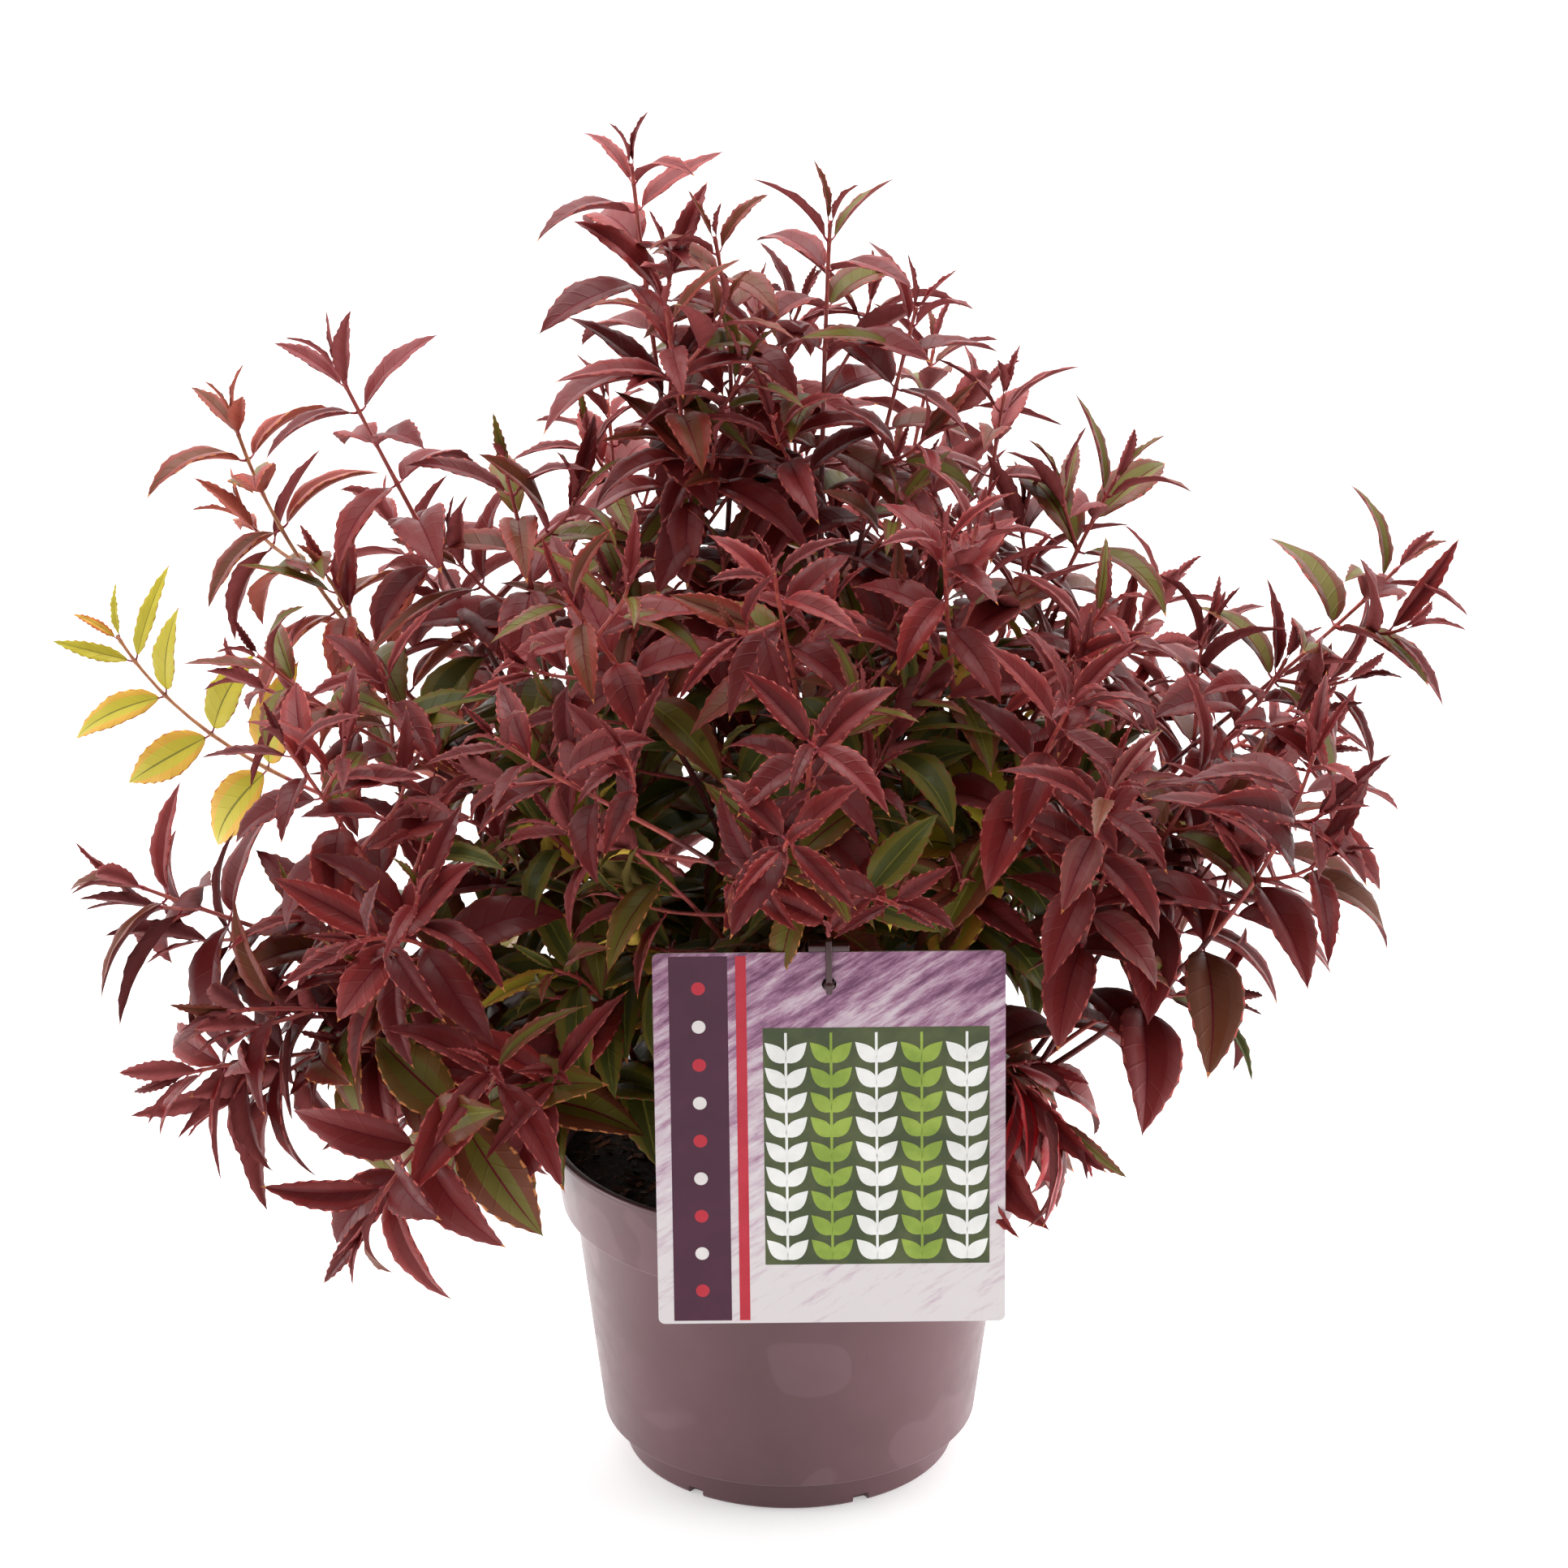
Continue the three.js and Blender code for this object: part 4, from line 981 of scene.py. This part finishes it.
def grained_material(name, grain, stops, roughness, bump, specular=0.5):
    """Colours spread by a noise, and a relief from another: its scale, detail, strength and depth."""
    material, tree, surface = new_material(name)
    set_inputs(tree, surface, {
        "Base Color": ramp(tree, noise(tree, *grain), *stops),
        "Roughness": roughness,
        "Specular IOR Level": specular,
    })
    *fine, strength, depth = bump
    set_bump(tree, surface, noise(tree, *fine), strength, depth)
    return material


def bark_material(name, dark, light, scale, rough):
    return grained_material(name, (scale, 5.0, 0.6), [(0.32, dark), (0.68, light)], rough,
                            (scale * 6, 4.0, 0.5, 0.0004))


def leaf_material(kind, name):
    """A leaf colour with side veins pressed into the blade and a soft, slightly uneven sheen."""
    material, tree, surface = new_material(f"leaf_{kind}_{name}")
    smooth, rough, specular, relief = (0.36, 0.5, 0.2, 0.4) if kind == "blade" else (0.6, 0.72, 0.12, 0.6)
    set_inputs(tree, surface, {
        "Base Color": to_linear(COLOURS[kind][name]),
        "Roughness": ramp(tree, noise(tree, 260), (0.3, smooth), (0.7, rough)),
        "Specular IOR Level": specular,
    })
    place = axes(tree, add_node(tree, "ShaderNodeUVMap", [("uv_map", "leaf")]).outputs["UV"])
    slant = maths(tree, "MULTIPLY_ADD", maths(tree, "ABSOLUTE", place["X"]), -0.16, place["Y"])
    vein = maths(tree, "SINE", maths(tree, "MULTIPLY", slant, 44.0))
    furrows = ramp(tree, vein, (0.0, 1.0), (0.86, 0.92), (1.0, 0.1))
    height = maths(tree, "MULTIPLY_ADD", noise(tree, 1500, 2.0), 0.35, furrows)
    set_bump(tree, surface, height, relief, 0.0003)
    return material


leaf_materials = [leaf_material(kind, name) for kind, name in LEAF_COLOURS]
bark_brown = bark_material("bark_brown", (62, 34, 24), (124, 76, 54), 420, 0.72)

# Old wood, young wood, golden young wood and petioles
TWIG_MATERIALS = [
    bark_material("bark_red", (74, 24, 28), (116, 48, 44), 300, 0.5),
    bark_material("stem_red", (132, 40, 44), (170, 78, 64), 240, 0.42),
    bark_material("stem_gold", (150, 84, 62), (186, 132, 84), 240, 0.42),
    bark_material("petiole_red", (128, 22, 40), (156, 42, 54), 240, 0.42),
]
PETIOLE = 3


# Plant pieces

def add_stem(shape, stem, sizes, nodes, golden):
    """A stem with a swelling at each node, and older wood towards its base."""
    node_places = [stem.length - node["down"] for node in nodes]
    places = stem_rings(stem.length, sizes["ring_step"], node_places)
    shares = places / stem.length
    _, side, lift = stem.frames(shares)
    radii = mix(sizes["base_radius"], sizes["tip_radius"], shares)
    radii = radii + node_swelling(places, node_places, STEM["node_height"], STEM["node_width"])
    middle = (places[:-1] + places[1:]) / 2
    old, young = (1, 2) if golden else (0, 1)
    wood = np.where(middle < stem.length - STEM["young"], old, young)
    add_tube(shape, stem.points(shares), side, lift, radii, sizes["sides"], wood)


def add_petioles(shape, leaves):
    """A short bent stalk from each stem to its leaf."""
    for leaf in leaves:
        start, end = leaf["root"], leaf["base"] + leaf["along"] * 0.6
        centres = np.array([start, mix(start, end, 0.5) - leaf["face"] * 0.25, end])
        size = min(1.0, leaf["length"] / LEAF["length"])
        add_tube(shape, centres, np.tile(leaf["across"], (3, 1)), np.tile(leaf["face"], (3, 1)),
                 np.array([0.75, 0.5, 0.45]) * size, 4, PETIOLE)


def add_limb(shape, limb):
    """The bare limb, with shallow furrows along it, rings at its nodes and a flare at its foot."""
    nodes = np.arange(CANE["first_node"], limb.length, CANE["node_step"])
    places = np.concatenate([[-CANE["buried"]], stem_rings(limb.length, CANE["ring_step"], nodes)])
    shares = np.clip(places / limb.length, 0, 1)
    along, side, lift = limb.frames(shares)
    centres = limb.points(shares) + along * np.minimum(places, 0)[:, None]
    radius = mix(CANE["foot_radius"], CANE["tip_radius"], shares)
    radius = radius + CANE["flare"] * np.exp(-np.maximum(places, 0) / CANE["flare_length"])
    radius = radius + node_swelling(places, nodes, CANE["node_height"], CANE["node_width"])
    turns = turns_round(CANE["sides"])
    furrows = np.sin(turns[None] * 5 + np.sin(places[:, None] * 0.11) * 2) * 0.11
    furrows = furrows + np.sin(turns[None] * 3 - places[:, None] * 0.23) * 0.07
    scale = np.minimum(1, radius / 2.4)[:, None]
    add_tube(shape, centres, side, lift, radius[:, None] + furrows * scale, CANE["sides"], 0)


def build_plant():
    for cane_name, limb in limbs.items():
        own = [mass for mass in masses if mass["cane"] == cane_name]
        limb_shape = Shape()
        add_limb(limb_shape, limb)
        bark = make_object(f"bark_{cane_name}", limb_shape, [bark_brown])
        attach(bark, "root")
        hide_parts(f"cane_{cane_name}")

        twig_shape = Shape()
        leaves, colours = [], []
        for mass in own:
            add_stem(twig_shape, mass["stem"], STEM, mass["nodes"], mass["habit"]["golden"])
            for twig in mass["twigs"]:
                add_stem(twig_shape, twig["stem"], TWIG, twig["nodes"], mass["habit"]["golden"])
        for mass in own + [limb_masses[cane_name]]:
            add_petioles(twig_shape, mass["leaves"])
            leaves += mass["leaves"]
            colours += [leaf_colours(mass, leaf) for leaf in mass["leaves"]]
        twigs = make_object(f"twigs_{cane_name}", twig_shape, TWIG_MATERIALS)
        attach(twigs, "root")

        leaf_shape = Shape()
        add_leaves(leaf_shape, leaves, colours)
        piece = make_object(f"leaves_{cane_name}", leaf_shape, leaf_materials)
        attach(piece, "root")
        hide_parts(*[f"mass_{mass['name']}" for mass in own])


build_plant()


# Pot

def turned(outline, sides):
    """A closed solid turned about the upright axis; the outline starts and ends on the axis."""
    shape = Shape()
    turns = turns_round(sides)
    radius, height = (np.array(values)[:, None] for values in zip(*outline[1:-1]))
    rings = np.stack(np.broadcast_arrays(radius * np.cos(turns), radius * np.sin(turns), height), -1)
    ends = [[0, 0, outline[0][1]], [0, 0, outline[-1][1]]]
    last = len(radius) * sides
    side = np.arange(sides)
    following = (side + 1) % sides
    start = np.stack([np.full(sides, last), following, side], -1)
    end = np.stack([np.full(sides, last + 1), side + last - sides, following + last - sides], -1)
    points = np.concatenate([rings.reshape(-1, 3), ends])
    shape.add(points, (ring_faces(len(radius), sides), 0), (start, 0), (end, 0))
    return shape


def rounded(points, radius, steps=4):
    """An outline with its inner corners rounded; the first and last point stay."""
    points = [np.array(point, float) for point in points]
    result = [points[0]]
    for before, corner, after in zip(points, points[1:], points[2:]):
        reach = min(radius, np.linalg.norm(before - corner) * 0.45, np.linalg.norm(after - corner) * 0.45)
        start = corner + unit(before - corner) * reach
        end = corner + unit(after - corner) * reach
        for step in range(steps + 1):
            t = step / steps
            result.append(start * (1 - t) ** 2 + corner * 2 * t * (1 - t) + end * t ** 2)
    result.append(points[-1])
    return result


def inner_wall(inset):
    """The inside of the pot from its rim to the middle of its base, or what lies the inset within it."""
    return [
        (POT["rim"] - POT["lip_width"] - inset, POT["height"]),
        (POT["collar_foot"] - POT["wall"] - inset, LEDGE + POT["wall"]),
        (POT["wall_top"] - POT["wall"] - inset, LEDGE - POT["ledge_drop"]),
        (POT["wall_foot"] - POT["wall"] - inset, POT["foot_height"] + POT["wall"] * 1.2 + inset),
        (POT["foot"] - POT["wall"] - inset, POT["foot_height"] + POT["wall"] * 0.6 + inset),
        (POT["foot"] - POT["wall"] - inset, POT["inner_foot_height"] + inset),
        (POT["inner_foot"] - inset, POT["base"] + inset),
        (0, POT["base"] + inset),
    ]


def pot_material():
    """Moulded taupe plastic: a soft gloss, faint flow marks, pale scuffs and a few dark specks."""
    material, tree, surface = new_material("pot_plastic")
    base = ramp(tree, noise(tree, 34, 3.0), (0.3, (92, 64, 68)), (0.7, (98, 69, 74)))
    specks = ramp(tree, noise(tree, 620, 1.0), (0.785, 0.0), (0.8, 1.0))
    scuffs = ramp(tree, noise(tree, 22, 1.0), (0.6, 0.0), (0.615, 0.24))
    set_inputs(tree, surface, {
        "Base Color": blend(tree, scuffs, blend(tree, specks, base, (70, 56, 66)), (126, 98, 103)),
        "Roughness": ramp(tree, noise(tree, 120, 3.0), (0.3, 0.3), (0.7, 0.38)),
        "Specular IOR Level": 0.3,
    })
    set_bump(tree, surface, noise(tree, 46, 2.0), 0.12, 0.001)
    return material


def cut_notches(pot):
    """The drain notches in the foot, with rounded edges."""
    cutter = bmesh.new()
    middle = NOTCH["inner_radius"] + NOTCH["depth"] / 2
    for i in range(NOTCH["count"]):
        bearing = radians(NOTCH["first_bearing"] + 360 / NOTCH["count"] * i)
        place = Matrix.Rotation(bearing, 4, "Z") @ Matrix.Translation((middle * MM, 0, 0))
        add_block(cutter, (NOTCH["depth"], NOTCH["width"], NOTCH["height"] * 2), place, NOTCH["edge"])
    notches = object_of("notches", cutter)
    cut = pot.modifiers.new("notches", "BOOLEAN")
    cut.operation = "DIFFERENCE"
    cut.object = notches
    cut.solver = "EXACT"
    graph = bpy.context.evaluated_depsgraph_get()
    mesh = bpy.data.meshes.new_from_object(pot.evaluated_get(graph))
    pot.modifiers.clear()
    pot.data = mesh
    bpy.data.objects.remove(notches)


def shade_by_angle(mesh, degrees):
    """Smooth shading, with the edges that turn by more than the angle kept sharp."""
    editor = bmesh.new()
    editor.from_mesh(mesh)
    for line in editor.edges:
        line.smooth = len(line.link_faces) == 2 and line.calc_face_angle(0) < radians(degrees)
    editor.to_mesh(mesh)
    editor.free()
    shade_smooth(mesh)


def build_pot():
    outline = [
        (0, 0),
        (POT["foot"] - POT["foot_edge"], 0),
        (POT["foot"], POT["foot_edge"]),
        (POT["foot"], POT["foot_height"]),
        (POT["wall_foot"], POT["foot_height"]),
        (POT["wall_top"], LEDGE - POT["ledge_drop"]),
        (POT["collar_foot"], LEDGE),
        (POT["rim"] - 1, POT["height"] - POT["lip_height"]),
        (POT["rim"], POT["height"] - POT["lip_height"]),
        (POT["rim"], POT["height"]),
        *inner_wall(0),
    ]
    pot = make_object("pot_body", turned(rounded(outline, POT["corner"]), POT["sides"]), [pot_material()])
    cut_notches(pot)
    shade_by_angle(pot.data, 40)
    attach(pot, "root")
    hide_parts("pot")


build_pot()


# Soil

def soil_level(x, y, fall):
    """Height of the soil: it falls towards its edge, and has low lumps and small crumbs."""
    lumps = np.sin(x * 0.09 + 1.2) * np.cos(y * 0.11 - 0.4) * 0.9 + np.sin(x * 0.23 - y * 0.17) * 0.5
    crumbs = np.sin(x * 0.71 + y * 0.33) * np.sin(y * 0.83 - x * 0.27) * 0.45
    rough = lumps + crumbs + np.sin(x * 1.9 + 0.7) * np.sin(y * 2.1 + 1.9) * 0.25
    return SOIL_TOP - SOIL_EDGE_DROP * fall + rough * (1 - fall * 0.6)


def build_soil():
    shape = Shape()
    walls = inner_wall(SOIL_GAP)
    (top_radius, top_height), (low_radius, low_height) = walls[:2]
    share = (SOIL_TOP - SOIL_EDGE_DROP - low_height) / (top_height - low_height)
    rim = mix(low_radius, top_radius, share)
    turns = turns_round(SOIL_SIDES)
    radius = np.linspace(1.0, rim, SOIL_RINGS)[:, None]
    x, y = radius * np.cos(turns), radius * np.sin(turns)
    fall = np.clip((radius - SOIL_FLAT) / (rim - SOIL_FLAT), 0, 1)
    rings = list(np.stack([x, y, soil_level(x, y, fall)], -1))
    for wall_radius, height in walls[1:-1]:
        level = np.full(SOIL_SIDES, float(height))
        rings.append(np.stack([wall_radius * np.cos(turns), wall_radius * np.sin(turns), level], -1))
    middle = np.arange(SOIL_SIDES)[None, :]
    bottom = (np.arange(SOIL_SIDES) + (len(rings) - 1) * SOIL_SIDES)[::-1][None, :]
    shape.add(np.array(rings), (ring_faces(len(rings), SOIL_SIDES)[:, ::-1], 0), (middle, 0), (bottom, 0))
    stops = [(0.3, (14, 10, 8)), (0.52, (32, 20, 16)), (0.64, (62, 36, 26)), (0.75, (104, 66, 44))]
    material = grained_material("soil_dark", (520, 6.0, 0.7), stops, 0.92, (900, 6.0, 0.7, 0.9, 0.0016))
    soil = make_object("soil_body", shape, [material])
    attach(soil, "root")
    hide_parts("soil")


# Chips on the soil: how many, their key among the shoots, and the least and most of their sizes
CHIPS = {"count": 900, "key": 301, "clear": 6, "long": (2.0, 9.0), "wide": (0.5, 2.6), "thick": (0.35, 1.3)}
FIBRE = {"draw": 0.82, "stretch": 1.8, "wide": 0.4, "thick": 0.35}
BLOCK_FACES = [(0, 3, 2, 1), (4, 5, 6, 7), (0, 1, 5, 4), (1, 2, 6, 5), (2, 3, 7, 6), (3, 0, 4, 7)]


def build_chips():
    """Loose bark chips, fibres and crumbs on the soil."""
    shape = Shape()
    feet = np.array([limb.points(0)[0][:2] for limb in limbs.values()])
    rim = POT["collar_foot"] - POT["wall"] - 3
    for chip in range(CHIPS["count"]):
        draw = [chance(CHIPS["key"], chip, 0, use) for use in range(12)]
        distance = rim * sqrt(draw[1])
        bearing = draw[2] * 2 * pi
        x, y = distance * cos(bearing), distance * sin(bearing)
        if np.hypot(feet[:, 0] - x, feet[:, 1] - y).min() < CHIPS["clear"]:
            continue
        fall = max(0.0, (distance - SOIL_FLAT) / (rim - SOIL_FLAT))
        long = mix(*CHIPS["long"], draw[4] ** 2)
        wide = mix(*CHIPS["wide"], draw[5])
        thick = mix(*CHIPS["thick"], draw[6])
        if draw[3] > FIBRE["draw"]:
            long, wide, thick = long * FIBRE["stretch"], FIBRE["wide"], FIBRE["thick"]
        turn = Matrix.Rotation(draw[7] * ROUGH_TURN, 3, "Z")
        turn = turn @ Matrix.Rotation(spread(CHIPS["key"], chip, 0, 8, 0.5), 3, "Y")
        turn = np.array(turn @ Matrix.Rotation(spread(CHIPS["key"], chip, 0, 9, 0.6), 3, "X"))
        corners = []
        for end in (-1, 1):
            for side, top in ((-1, -1), (1, -1), (1, 1), (-1, 1)):
                jitter = 1 + spread(CHIPS["key"], chip, side * 2 + top * 3 + end * 5, 10, 0.35)
                corners.append((end * long / 2 * jitter, side * wide / 2 * jitter, top * thick / 2))
        points = np.array(corners) @ turn.T + (x, y, soil_level(x, y, fall) + thick * 0.5)
        shape.add(points, (BLOCK_FACES, int(draw[11] * 3)))
    materials = [
        bark_material("chip_dark", (22, 14, 11), (44, 27, 20), 700, 0.9),
        bark_material("chip_brown", (58, 34, 24), (92, 56, 38), 700, 0.85),
        bark_material("chip_red", (86, 48, 30), (132, 84, 56), 700, 0.85),
    ]
    chips = make_object("soil_chips", shape, materials, smooth=False)
    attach(chips, "root")


build_soil()
build_chips()


# Tag and holder

PRINTS = [
    ("print_plum", (62, 6, 40), (70, 12, 46)),
    ("print_cream", (216, 210, 208), (225, 220, 218)),
    ("print_crimson", (176, 22, 44), (186, 34, 54)),
    ("print_green_dark", (56, 66, 34), (76, 84, 46)),
    ("print_green", (126, 150, 48), (150, 172, 66)),
    ("print_white", (224, 224, 220), (236, 236, 233)),
]
WASH, PLUM, CREAM, RED, GREEN_DARK, GREEN, WHITE = range(7)
INK = 0.03


def patch(shape, outline, level, material):
    """A thin printed patch on the card's front; its outline is a list of places across and down."""
    area = sum(a[0] * b[1] - b[0] * a[1] for a, b in zip(outline, outline[1:] + outline[:1]))
    outline = outline if area > 0 else outline[::-1]
    count = len(outline)
    front = [(x, -level - INK, -down) for x, down in outline]
    rear = [(x, -level + 0.01, -down) for x, down in outline]
    side = np.arange(count)
    following = (side + 1) % count
    walls = np.stack([side, following, following + count, side + count], -1)
    shape.add(front + rear, (walls, material), (side[::-1][None], material), (side[None] + count, material))


def rectangle(left, right, top, bottom):
    return [(left, top), (right, top), (right, bottom), (left, bottom)]


def dot(x, down, radius, steps=20):
    angles = [step / steps * 2 * pi for step in range(steps)]
    return [(x + cos(angle) * radius, down + sin(angle) * radius) for angle in angles]


def petal(x, down, long, wide, turn):
    """A pointed leaf that starts at its foot."""
    places = []
    level, rise = cos(turn), sin(turn)
    for side, steps in ((1, range(9)), (-1, range(7, 0, -1))):
        for step in steps:
            along = long * (step / 8)
            half = wide * sin(pi * (step / 8) ** 0.8) * side / 2
            places.append((x + along * level - half * rise, down + along * rise + half * level))
    return places


def wash_material():
    """The card's ground: mauve brush marks that fade down the card into off-white."""
    material, tree, surface = new_material("print_wash")
    place = object_place(tree)
    slanted = add_node(tree, "ShaderNodeMapping", [("vector_type", "TEXTURE")], Vector=place,
                       Rotation=(0, radians(-34), 0), Scale=(1, 1, 0.16))
    strokes = noise(tree, 42, 8.0, 0.72, slanted.outputs["Vector"])
    fade = add_node(tree, "ShaderNodeMapRange", Value=axes(tree, place)["Z"])
    set_inputs(tree, fade, {
        "From Min": (CARD_PLACE["top"] - CARD["height"]) * MM,
        "From Max": CARD_PLACE["top"] * MM,
        "To Min": -0.2,
        "To Max": 0.16,
    })
    faded = maths(tree, "ADD", strokes, fade.outputs["Result"])
    stops = [(0.36, (214, 207, 208)), (0.5, (196, 174, 186)), (0.62, (156, 112, 140)), (0.74, (102, 56, 88))]
    set_inputs(tree, surface, {
        "Base Color": ramp(tree, faded, *stops), "Roughness": 0.4, "Specular IOR Level": 0.3,
    })
    return material


def build_card():
    """The card, with rounded corners and a round hole, and the pattern on its front."""
    half, corner, radius = CARD["width"] / 2, CARD["corner"], CARD["hole_radius"]
    top, foot = -corner, -CARD["height"] + corner
    outline = []
    for x, z, first in ((half, top, 0), (-half, top, 90), (-half, foot, 180), (half, foot, 270)):
        for step in range(7):
            angle = radians(first + step * 15)
            outline.append((x - copysign(corner, x) + corner * cos(angle), z + corner * sin(angle)))
    count = len(outline)
    angles = [radians(360 * i / count) for i in range(count)]
    hole = [(radius * cos(angle), -CARD["hole_down"] + radius * sin(angle)) for angle in angles]
    loops = [[(x, y, z) for x, z in loop] for y in (0, CARD["thickness"]) for loop in (outline, hole)]
    bearings = [atan2(z + CARD["hole_down"], x) % (2 * pi) for x, z in outline]
    hole_front, rear, hole_rear = count, count * 2, count * 3
    side = np.arange(count)
    following = (side + 1) % count
    outer = (side + int(np.argmin(bearings))) % count
    outer_next = (outer + 1) % count
    faces = [
        (outer, hole_front + side, hole_front + following, outer_next),
        (rear + outer, rear + outer_next, hole_rear + following, hole_rear + side),
        (side, following, rear + following, rear + side),
        (hole_front + side, hole_rear + side, hole_rear + following, hole_front + following),
    ]
    shape = Shape()
    shape.add(loops, *zip([np.stack(corners, -1) for corners in faces], (WASH, WASH, CREAM, CREAM)))
    materials = [wash_material()]
    for name, colour, fleck in PRINTS:
        stops = [(0.38, colour), (0.62, fleck)]
        fine = (2400, 2.0, 0.04, 0.0002)
        materials.append(grained_material(name, (70, 4.0, 0.6), stops, 0.36, fine, specular=0.3))
    card = make_object("tag_sheet", shape, materials, smooth=False, matrix=CARD_IN_METRES)
    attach(card, "root")
    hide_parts("tag_card")
    build_artwork(materials)


def build_artwork(materials):
    """A plain pattern on the front: two upright bands, and a panel of leafy stripes."""
    art = Shape()
    margin = 1.2
    foot = CARD["height"] - margin
    patch(art, rectangle(-60, -38, margin, foot), 0.02, PLUM)
    patch(art, rectangle(-35, -31, margin, foot), 0.02, RED)
    for row in range(9):
        patch(art, dot(-49, 14 + row * 15.3, 2.6), 0.05, CREAM if row % 2 else RED)
    left, right, top, bottom = -25, 60, 30, 126
    patch(art, rectangle(left, right, top, bottom), 0.02, GREEN_DARK)
    columns, rows = 5, 9
    across = (right - left) / columns
    rise = (bottom - top - 6) / rows
    for column in range(columns):
        x = left + across * (column + 0.5)
        colour = GREEN if column % 2 else WHITE
        patch(art, rectangle(x - 0.5, x + 0.5, top + 2, bottom - 2), 0.05, colour)
        for row in range(rows):
            for side in (1, -1):
                leaf = petal(x, bottom - 2 - row * rise, 11.4, 6, radians(-90 + side * 44))
                patch(art, leaf, 0.06 + row * 0.008, colour)
    print_piece = make_object("tag_print", art, materials, smooth=False, matrix=CARD_IN_METRES)
    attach(print_piece, "root")


def build_holder():
    """The bar behind the card, the hook over its top, the peg through its hole, and the stake."""
    behind = CARD["thickness"] + HOLDER["bar_behind"]
    hook_y = -HOLDER["bar_front"] + GAP - HOLDER["hook_depth"] / 2
    hook_width, bar_height = HOLDER["hook_width"], HOLDER["bar_height"]
    bridge_height = HOLDER["hook_rise"] - GAP - 1
    peg_depth = CARD["thickness"] - hook_y + 1
    hook_height = HOLDER["hook_rise"] + HOLDER["hook_drop"]
    hook_middle = (HOLDER["hook_rise"] - HOLDER["hook_drop"]) / 2
    blocks = [
        ((HOLDER["bar_width"], behind + HOLDER["bar_front"], bar_height),
         (0, (behind - HOLDER["bar_front"]) / 2, GAP + bar_height / 2)),
        ((hook_width, HOLDER["hook_depth"], hook_height), (0, hook_y, hook_middle)),
        ((hook_width, behind - hook_y, bridge_height),
         (0, hook_y + (behind - hook_y) / 2, HOLDER["hook_rise"] - bridge_height / 2)),
        ((hook_width, peg_depth, hook_width), (0, hook_y + peg_depth / 2, -CARD["hole_down"])),
    ]
    editor = bmesh.new()
    for size, place in blocks:
        matrix = CARD_IN_METRES @ Matrix.Translation(Vector(place) * MM)
        add_block(editor, size, matrix, min(size) * HOLDER["edge_share"])
    knob = Matrix.Translation(Vector((0, hook_y, -CARD["hole_down"])) * MM)
    knob = knob @ Matrix.Diagonal((1, 0.7, 1, 1))
    bmesh.ops.create_uvsphere(editor, u_segments=20, v_segments=12, radius=HOLDER["knob_radius"] * MM,
                              matrix=CARD_IN_METRES @ knob)
    lean = radians(HOLDER["stake_lean"])
    length = (STAKE_TOP[2] - SOIL_TOP + HOLDER["stake_bury"]) / cos(lean)
    stake = Matrix.Translation(Vector(STAKE_TOP) * MM) @ Matrix.Rotation(lean, 4, "X")
    stake = stake @ Matrix.Translation(Vector((0, 0, -length / 2 + bar_height / 2)) * MM)
    size = (HOLDER["stake_width"], HOLDER["stake_depth"], length)
    add_block(editor, size, stake, min(size) * HOLDER["edge_share"])
    holder = object_of("tag_stake", editor)
    shade_smooth(holder.data)
    stops = [(0.35, (48, 12, 18)), (0.65, (60, 18, 24))]
    holder.data.materials.append(
        grained_material("holder_plastic", (160, 3.0), stops, 0.34, (700, 2.0, 0.1, 0.0003)))
    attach(holder, "root")
    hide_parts("tag_holder")


build_card()
build_holder()


# Floor, light and camera

def build_stage():
    bpy.ops.mesh.primitive_plane_add(size=80, location=(0, 0, -0.0002))
    floor = bpy.context.object
    floor.name = "floor"
    material, tree, surface = new_material("floor_pale")
    set_inputs(tree, surface, {
        "Base Color": (0.92, 0.92, 0.92, 1), "Roughness": 0.9, "Emission Color": (1, 1, 1, 1),
        "Emission Strength": 0.4,
    })
    floor.data.materials.append(material)

    # Bright walls at the sides and behind, and a dim room on the viewer's side
    world = bpy.data.worlds.new("studio")
    bpy.context.scene.world = world
    world.use_nodes = True
    tree = world.node_tree
    direction = add_node(tree, "ShaderNodeTexCoord").outputs["Generated"]
    behind = maths(tree, "MULTIPLY_ADD", axes(tree, direction)["Y"], 0.5, 0.5)
    walls = ramp(tree, behind, (0.1, 0.16), (0.36, 0.62), (0.5, 2.4), (0.8, 2.0))
    set_inputs(tree, tree.nodes["Background"], {"Color": walls, "Strength": 1.0})


def add_light(name, place, target, size, power, spread_angle=180):
    data = bpy.data.lights.new(name, "AREA")
    data.shape = "RECTANGLE"
    data.size, data.size_y = size
    data.energy = power
    data.spread = radians(spread_angle)
    lamp = add_object(name, data)
    lamp.location = place
    lamp.rotation_euler = (Vector(target) - Vector(place)).to_track_quat("-Z", "Y").to_euler()


def build_camera():
    data = bpy.data.cameras.new("photo_view")
    data.lens = 133.98
    data.sensor_width = 36
    data.clip_end = 50
    camera = add_object("photo_view", data)
    camera.location = (-0.0022, -2.0759, 1.1371)
    camera.rotation_euler = (radians(90 - VIEW_DOWN), 0, 0)
    bpy.context.scene.camera = camera


build_stage()
add_light("key", (-1.6, -1.3, 2.0), (0, 0, 0.3), (1.2, 1.2), 4)
add_light("fill", (1.9, -0.9, 1.2), (0, 0, 0.25), (1.2, 1.4), 2)
add_light("top", (-0.06, 0.2, 1.04), (0, 0, 0.32), (0.9, 0.6), 8)
add_light("left_strip", (-0.62, -0.06, 0.08), (0, 0, 0.07), (0.3, 0.12), 0.2, 60)
add_light("right_strip", (0.62, -0.06, 0.08), (0, 0, 0.07), (0.3, 0.12), 0.36, 60)
build_camera()
bpy.context.scene.view_settings.view_transform = "Standard"
